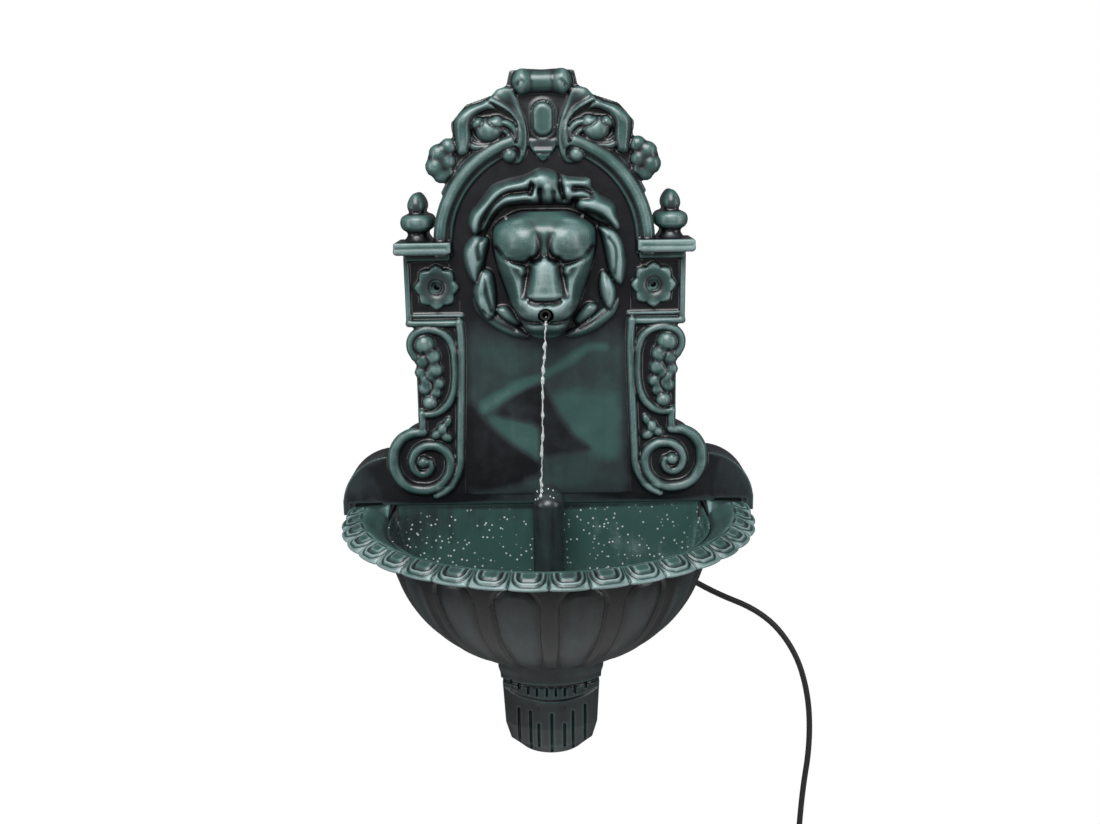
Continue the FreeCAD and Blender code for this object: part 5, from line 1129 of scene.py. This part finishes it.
bowl = {"centreY": -72.0, "radius": 156.0, "knuckle": 131.0, "knuckleX": 25.0, "topZ": -225.0,
        "floorRadius": 211.125, "floorZ": -148.875, "footZ": -352, "flutes": 8, "fillet": 5.4, "fluteTop": -226.5,
        "recess": 2.2, "bead": 1.9, "grain": 1.25, "cut": 150, "cutZ": -238}
rim = {"inner": 157.5, "valley": 194.1, "crest": 198.1, "edge": 196.0, "pitch": 10.0, "across": 40, "along": 84,
       "leaf": (0.36, 0.87), "leafFade": (0.03, 0.04), "sideLength": 181.5,
       "wall": {"top": -216.0, "drop": 2.8, "wide": 38, "share": (0.13, 0.85), "from": 46, "over": 14}}


def bowlSkin(knuckleSteps=24, floorSteps=6):  # outside of the bowl as a turned shell
    k, kx, top, centreY = bowl["knuckle"], bowl["knuckleX"], bowl["topZ"], bowl["centreY"]
    steep = math.atan2(top - bowl["floorZ"], kx)
    turns = [steep * step / knuckleSteps for step in range(knuckleSteps + 1)]
    outer = [(kx + k * math.cos(a), top + k * math.sin(a)) for a in turns]
    turns = [steep + (-math.pi / 2 - steep) * step / floorSteps for step in range(1, floorSteps + 1)]
    radius = bowl["floorRadius"]
    outer += [(radius * math.cos(a), bowl["floorZ"] + radius * math.sin(a)) for a in turns]
    inner = [(max(0, r - 3.4 * math.cos(math.atan2(z - top, r))), z + 3.0 * (1 - r / bowl["radius"]))
             for r, z in reversed(outer)]
    profile = outer + inner
    skin = spun(wire([(-r, centreY, z) for r, z in profile]), 72, math.pi, 0, centreY)
    swept = readPoints(skin.data)  # turned over from the wall's side to the front
    swept[:, 1] = 2 * centreY / metre - swept[:, 1]
    writePoints(skin.data, swept)
    side = slab(profile, -centreY, 0)
    return [skin, side] + flipped([side])


def aroundBowl(points, normals):  # place from the bowl's axis, radius, how far the surface faces out
    x, y, z = points[:, 0] * metre, points[:, 1] * metre - bowl["centreY"], points[:, 2] * metre
    radius = np.hypot(x, np.minimum(y, 0))
    out = (normals[:, 0] * x + normals[:, 1] * y) / np.maximum(radius, 1) - normals[:, 2] * 0.7
    return x, y, z, radius, out


def boxed(across, up, corner):  # distance outside a rounded box, from the distances past its corners' middles
    return np.hypot(np.maximum(across, 0), np.maximum(up, 0)) + np.minimum(np.maximum(across, up), 0) - corner


def fluteField(x, y, z, radius):  # distance outside the nearest flute, share of the way from its middle line
    pitch = 180.0 / bowl["flutes"]
    turn = np.mod(np.degrees(np.arctan2(-y, x)), pitch) - pitch / 2
    across = np.radians(np.abs(turn)) * radius
    half = np.radians((pitch - bowl["fillet"]) / 2) * radius + climb(z, -345, 110) - 1.0
    corner = np.where(z > -300, half * 0.86, np.minimum(15.0, half * 0.8))
    outside = boxed(across - (half - corner), np.abs(z + 300) - (64.5 - corner), corner)
    return outside, across / np.maximum(half, 1)


def fluteBowl(piece):
    points, normals = readPoints(piece.data), readNormals(piece.data)
    x, y, z, radius, out = aroundBowl(points, normals)
    outside, share = fluteField(x, y, z, radius)
    belly = np.clip(1 - share ** 2, 0, 1) * climb(-outside, 0, 9)
    groove = bowl["recess"] * ease(climb(-outside, 0, 2.4)) + bell(outside + 1.6, 1.2)
    deep = groove - bowl["bead"] * belly
    use = (out > 0.35) & (z < bowl["fluteTop"]) & (y < 0) & (z > bowl["footZ"])
    points -= normals * np.where(use, deep, 0)[:, None] / metre
    writePoints(piece.data, points)


bowlTone = {"fillet": 0.02, "flute": 0.44, "underRim": 0.26, "patinaShadeShare": 0.35, "inside": 1.12, "insideRadius": 157,
            "insideTop": -222, "wave": (0.16, 17.0), "dark": (0.5, -46, 11), "light": (0.2, 118, 6)}


def toneBowl(piece):  # dark fillets, green flutes, a shadowed band under the rim, a wet green inside painted lighter where the overhead light falls
    points, normals = readPoints(piece.data), readNormals(piece.data)
    x, y, z, radius, out = aroundBowl(points, normals)
    outside, share = fluteField(x, y, z, radius)
    raised = readRaised(piece)
    flute = bowlTone["fillet"] + bowlTone["flute"] * climb(-outside, 0, 5) * np.clip(1.15 - share ** 2, 0, 1)
    flute -= bowlTone["underRim"] * climb(z, -262, 30)
    bowlSide = (out > 0.2) & (z < -226) & (z > bowl["footZ"])
    raised = np.where(bowlSide, flute + bowlTone["patinaShadeShare"] * (raised - 0.5), raised)
    within = (out < 0.2) & (z < bowlTone["insideTop"]) & (radius < bowlTone["insideRadius"])
    (swing, length), (dark, darkX, darkWide) = bowlTone["wave"], bowlTone["dark"]
    light, lightX, lightWide = bowlTone["light"]
    # the inside band is painted light, reaching into the pale painted highlight tone
    band = bowlTone["inside"] + swing * np.sin(x / length)
    band += light * bell(x - lightX, lightWide) - dark * bell(x - darkX, darkWide)
    raised = np.where(within, band - 0.5 * climb(np.abs(x), 128, 14) * (x < 0), raised)
    writeRaised(piece, raised)
    writeLayer(piece, "wet", within)


rimProfile = [  # share of the way round, radius, height; past 0.6 the radius follows the scalloped edge
    (0.0, 152.2, -240), (0.05, 152.4, -233), (0.11, 156.0, -226.6), (0.18, 162.0, -221.0), (0.25, 168.5, -216.4),
    (0.31, 173.5, -213.6), (0.36, 177.5, -212.4), (0.42, 181.0, -213.0), (0.56, 187.0, -215.4),
    (0.70, 191.4, -217.6), (0.80, 194.2, -219.2), (0.85, 195.8, -220.4), (0.88, 196.0, -221.6),
    (0.91, 194.6, -222.8), (0.94, 190.0, -223.4), (0.97, 168.0, -229.0), (1.0, 152.2, -240),
]


def rimHeight(t, r, half):  # relief of one scallop's leaf, from its middle
    def edge(halfWide, end, corner):
        return boxed(np.abs(t) - (halfWide - corner), r - (end - corner), corner)

    pad = np.maximum(edge(7.9, 189.0, 4.2), 179.4 - r)
    line = edge(11.6, 193.0, 7.5)
    high = climb(-pad, 0, 1.6) - 0.7 * bell(pad - 1.3, 1.0)
    high += 1.2 * bell(line, 1.0) * climb(r, 178, 4) - 0.9 * bell(line - 2.2, 1.0) * climb(r, 180, 4)
    high += 0.8 * climb(line, 2.6, 3.0) * bell(r - 192, 4.5)
    wedge = np.clip(1 - (half - np.abs(t)) / (1.0 + np.clip((r - 182) / 4, 0, 3.4)), 0, 1)
    return high - 2.2 * wedge * wedge * climb(r, 179, 8)


def rimUnit(straight=False):  # one scallop of the rim; the straight one is the last before the wall
    dropPick()
    bpy.ops.mesh.primitive_grid_add(x_subdivisions=rim["across"], y_subdivisions=rim["along"], size=2)
    unit = bpy.context.object
    grid = readPoints(unit.data)
    across, v = grid[:, 0], (grid[:, 1] + 1) / 2
    halfPitch = math.radians(rim["pitch"] / 2)
    chord = rim["valley"] * math.cos(halfPitch)
    outer = chord / np.cos(across * halfPitch) + (rim["crest"] - chord) * roundOff(across ** 2)
    outer = np.maximum(outer, rim["valley"])
    run = flow(rimProfile)
    r, z = np.interp(v, run[:, 0], run[:, 1]), np.interp(v, run[:, 0], run[:, 2])
    r += (outer - rim["edge"]) * climb(r, 187, 7) * (v > 0.4)
    half = halfPitch * np.maximum(r, bowl["cut"])
    (start, end), (rising, falling) = rim["leaf"], rim["leafFade"]
    z += rimHeight(across * half, r, half) * climb(-v, -end, falling) * climb(v, start, rising)
    if straight:
        wall = rim["wall"]
        low, high = wall["share"]
        px, py = r, bowl["centreY"] + (across + 1) * rim["sideLength"] * math.sin(halfPitch)
        flat = wall["top"] - wall["drop"] * climb(r, rim["inner"], wall["wide"])
        z = np.where((v > low) & (v < high), flat + (z - flat) * climb(-py, wall["from"], wall["over"]), z)
    else:
        px, py = r * np.cos(across * halfPitch), bowl["centreY"] - r * np.sin(across * halfPitch)
    writePoints(unit.data, np.stack([px, py, z], 1) / metre)
    return unit


def buildRim():
    unit = rimUnit()
    pieces = []
    pivot = Matrix.Translation((0, bowl["centreY"] / metre, 0))
    for k in range(int(180 / rim["pitch"])):
        copy = twinOf(unit)
        turn = Matrix.Rotation(math.radians(-rim["pitch"] * (k + 0.5)), 4, "Z")
        copy.matrix_world = pivot @ turn @ pivot.inverted()
        pieces.append(settle(copy))
    bpy.data.objects.remove(unit)
    side = rimUnit(True)
    tail = twinOf(side)  # the plain end beside the wall
    spots = readPoints(side.data).reshape(-1, rim["across"] + 1, 3)
    last = spots[:, -1:, :] if spots[0, -1, 1] > spots[0, 0, 1] else spots[:, :1, :]
    share = (spots[:, :, 1] - spots[:, :, 1].min()) / np.ptp(spots[:, :, 1])
    spots = np.repeat(last, rim["across"] + 1, 1)
    spots[:, :, 1] += share * (-1 / metre - spots[:, :, 1])
    writePoints(tail.data, spots.reshape(-1, 3))
    whole = joined("basinRim", pieces + [side, tail] + flipped([side, tail]))
    outward(whole)
    inEdit((bpy.ops.mesh.fill_holes, {"sides": 0}), faceOut)
    return whole


def buildBasin(steps=48):
    shell = cadCopy("basin", "basinCast")
    turns = [-math.pi * k / steps for k in range(steps + 1)]
    ring = [(bowl["cut"] * math.cos(a), bowl["centreY"] + bowl["cut"] * math.sin(a)) for a in turns]
    outline = [(150, 20)] + ring + [(-150, 20), (-240, 20), (-240, -330), (240, -330), (240, 20)]
    cutter = wire([(x, y, bowl["cutZ"]) for x, y in outline], "NGON")
    inEdit(pushed(0, 0.036), faceOut)
    carve(shell, cutter)  # the flat rim of the solids makes room for the rolled one
    whole = weld("basinCast", [shell] + bowlSkin(), bowl["grain"], 3)
    fluteBowl(whole)
    return whole


rimPiece = buildRim()
patinaAndShadeMap(rimPiece, 4, 16, 1400, 400)
rimSpots = readPoints(rimPiece.data) * metre
rimReach = np.hypot(rimSpots[:, 0], np.minimum(rimSpots[:, 1] - bowl["centreY"], 0))
# painted highlight along the rolled outer edge, painted shade on the rim's underside
writeRaised(rimPiece, readRaised(rimPiece) + 0.30 * bell(rimReach - 194.5, 2.6)
            - 0.5 * climb(-rimSpots[:, 2], 222, 3))
finish(rimPiece, "fountain", ["basin"], rimCast)
basinPiece = buildBasin()
patinaAndShadeMap(basinPiece, 4, 24)
toneBowl(basinPiece)
thin(basinPiece)
finish(basinPiece, "fountain", ["basin"], basinCast)
print("basin moulded")


pendantMarks = {
    "ticks": [(-41, -400.5, -405), (-32.6, -404.2, -409.6), (-23.3, -406.7, -413.4), (-14.6, -407.5, -414.4),
              (-4.3, -407, -414.6), (4.6, -407.2, -414.7), (13.8, -407.3, -414.9), (24.1, -406, -412.9),
              (35.3, -403.2, -409.2)],
    "grooves": [(-33.4, -432.1, -472.4), (-21.5, -432.9, -476.2), (-13.2, -446.7, -469.6), (0.1, -434.8, -478.4),
                (13.2, -447.1, -470), (21.9, -433.6, -476.3), (34.5, -429.3, -468.8)],
    "curve": [(-47.5, -410.9), (-32.3, -416.2), (-15.6, -418.9), (1.1, -419.8), (20.6, -418.9), (37.4, -416.1),
              (48.6, -412.4)],
    "bottom": -486.5,
}


def buildPendant():
    facts = pendantMarks
    whole = weld("pendantCast", [cadCopy("pendant", "pendantCast")], 0.8, 3)
    x, y, z = readPoints(whole.data).T * metre
    low = z.min()
    z -= climb(-z, 425, -425 - low) * (low - facts["bottom"])  # the cup is longer, and wider near its collar
    x *= 1.03 + 0.03 * climb(z, -396, 6)
    writePoints(whole.data, np.stack([x, y, z], 1) / metre)
    press(whole, [[(across, top), (across, foot)] for across, top, foot in facts["ticks"]], 1.7, 2.4, 20)
    press(whole, [[(across, top), (across, foot - 6)] for across, top, foot in facts["grooves"]], 1.8, 3.4, 14)
    press(whole, [facts["curve"]], 1.8, 2.2, 14)
    return whole


pendantPiece = buildPendant()
patinaAndShadeMap(pendantPiece, 4, 24)
thin(pendantPiece)
finish(pendantPiece, "fountain", ["pendant"], pendantCast)
coverPiece = weld("coverCast", [cadCopy("hose_cover", "coverCast")], 0.55, 6)
coverSpots = readPoints(coverPiece.data)
above = np.maximum(coverSpots[:, 2] + 0.216, 0)
coverSpots[:, 2] -= 0.28 * above  # the photograph shows its head lower
writePoints(coverPiece.data, coverSpots)
patinaAndShadeMap(coverPiece, 4, 24)
thin(coverPiece)
finish(coverPiece, "hose_cover", ["hose_cover"], coverCast)
print("pendant and cover moulded")

random.seed(11)
water = {
    "run": [(0.6, -24.5, 80), (0.2, -31, 85.5), (-0.8, -49, 86.5), (-2.4, -72, 87), (-3.6, -95, 87),
            (-4.2, -125, 87), (-5, -151, 87), (-6, -176, 87), (-6.6, -195.5, 87)],  # x, z, depth
    "steps": 7, "sway": 0.5, "widths": (0.5, 0.8, 1.3, 1.7), "splashes": 8, "splashSize": (0.8, 0.9, 0.8),
    "splashBox": ((-16, 6), (-199, -188), (84, 92)), "tone": (0.80, 0.86, 0.86),
}
fall = flow(water["run"], water["steps"])
trickle = ridge([(x + random.uniform(-water["sway"], water["sway"]), z) for x, z, depth in fall],
                [random.choice(water["widths"]) for spot in fall], [depth for x, z, depth in fall])
splashes = [lump(*[random.uniform(*span) for span in water["splashBox"]], *water["splashSize"])
            for count in range(water["splashes"])]
waterPiece = outward(joined("waterTrickle", trickle + splashes))
finish(waterPiece, "fountain", [],
       plainMaterial("runningWater", water["tone"], 0.10, transmission=0.55, bump=0.05))
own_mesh(waterPiece)

# The CAD parts that stay as they are
for key, facts in nodeFinish.items():
    for mesh in (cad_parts[node].data for node in facts[1]):
        if not mesh.materials:
            mesh.materials.append(finishes[key])
        for index in range(len(mesh.materials)):
            mesh.materials[index] = finishes[key]
print("inner parts finished")


studio = {  # in metres and watts
    "floor": (0, -0.85, -1.30), "floorSize": (3.0, 2.3, 1), "floorTone": (0.76, 0.76, 0.75, 1),
    "floorRoughness": 0.8,
    "lamps": {  # place, aim, size, power
        "overheadSoftbox": ((-0.2, -0.9, 1.3), (0, -0.05, 0), (1.2, 0.7), 24.0),
        "frontSoftbox": ((-0.35, -1.75, 1.15), (0, -0.05, -0.05), (1.3, 0.7), 20.0),
        "leftStrip": ((-1.2, -0.7, 0.1), (0, -0.05, -0.05), (0.3, 1.5), 6.0),
        "rightStrip": ((1.2, -0.7, 0.1), (0, -0.05, -0.05), (0.3, 1.5), 7.0),
        "lowFill": ((0.0, -1.6, -0.45), (0, -0.05, -0.15), (1.6, 0.6), 0.05),
    },
    "seen": {"Color": (1, 1, 1, 1), "Strength": 1.0}, "glow": {"Color": (0.95, 0.97, 1.0, 1), "Strength": 0.12},
}

dropPick()
bpy.ops.mesh.primitive_plane_add(size=1, location=studio["floor"])
ground = bpy.context.object
ground.name = "paleFloor"
ground.scale = studio["floorSize"]
settle(ground)
paint = {"Base Color": studio["floorTone"], "Roughness": studio["floorRoughness"]}
floorPaint = newMaterial("floorPaint", paint)[0]
ground.data.materials.append(floorPaint)

for name, (place, aim, size, power) in studio["lamps"].items():
    data = bpy.data.lights.new(name, "AREA")
    data.shape = "RECTANGLE"
    data.size, data.size_y = size
    data.energy = power
    light = bpy.data.objects.new(name, data)
    bpy.context.collection.objects.link(light)
    light.location = place
    light.rotation_euler = (Vector(aim) - Vector(place)).to_track_quat("-Z", "Y").to_euler()

sky = bpy.data.worlds.new("studioSky")
bpy.context.scene.world = sky
sky.use_nodes = True
sky.node_tree.nodes.clear()
addSky = treeTools(sky.node_tree)[0]
seen, glow = (addSky("Background", "Background", studio[part]) for part in ("seen", "glow"))
toCamera = addSky("LightPath", "Is Camera Ray")
addSky("OutputWorld", None, {"Surface": addSky("MixShader", "Shader", {"Fac": toCamera, 1: glow, 2: seen})})
bpy.context.scene.view_settings.view_transform = "Standard"
print("studio lit")
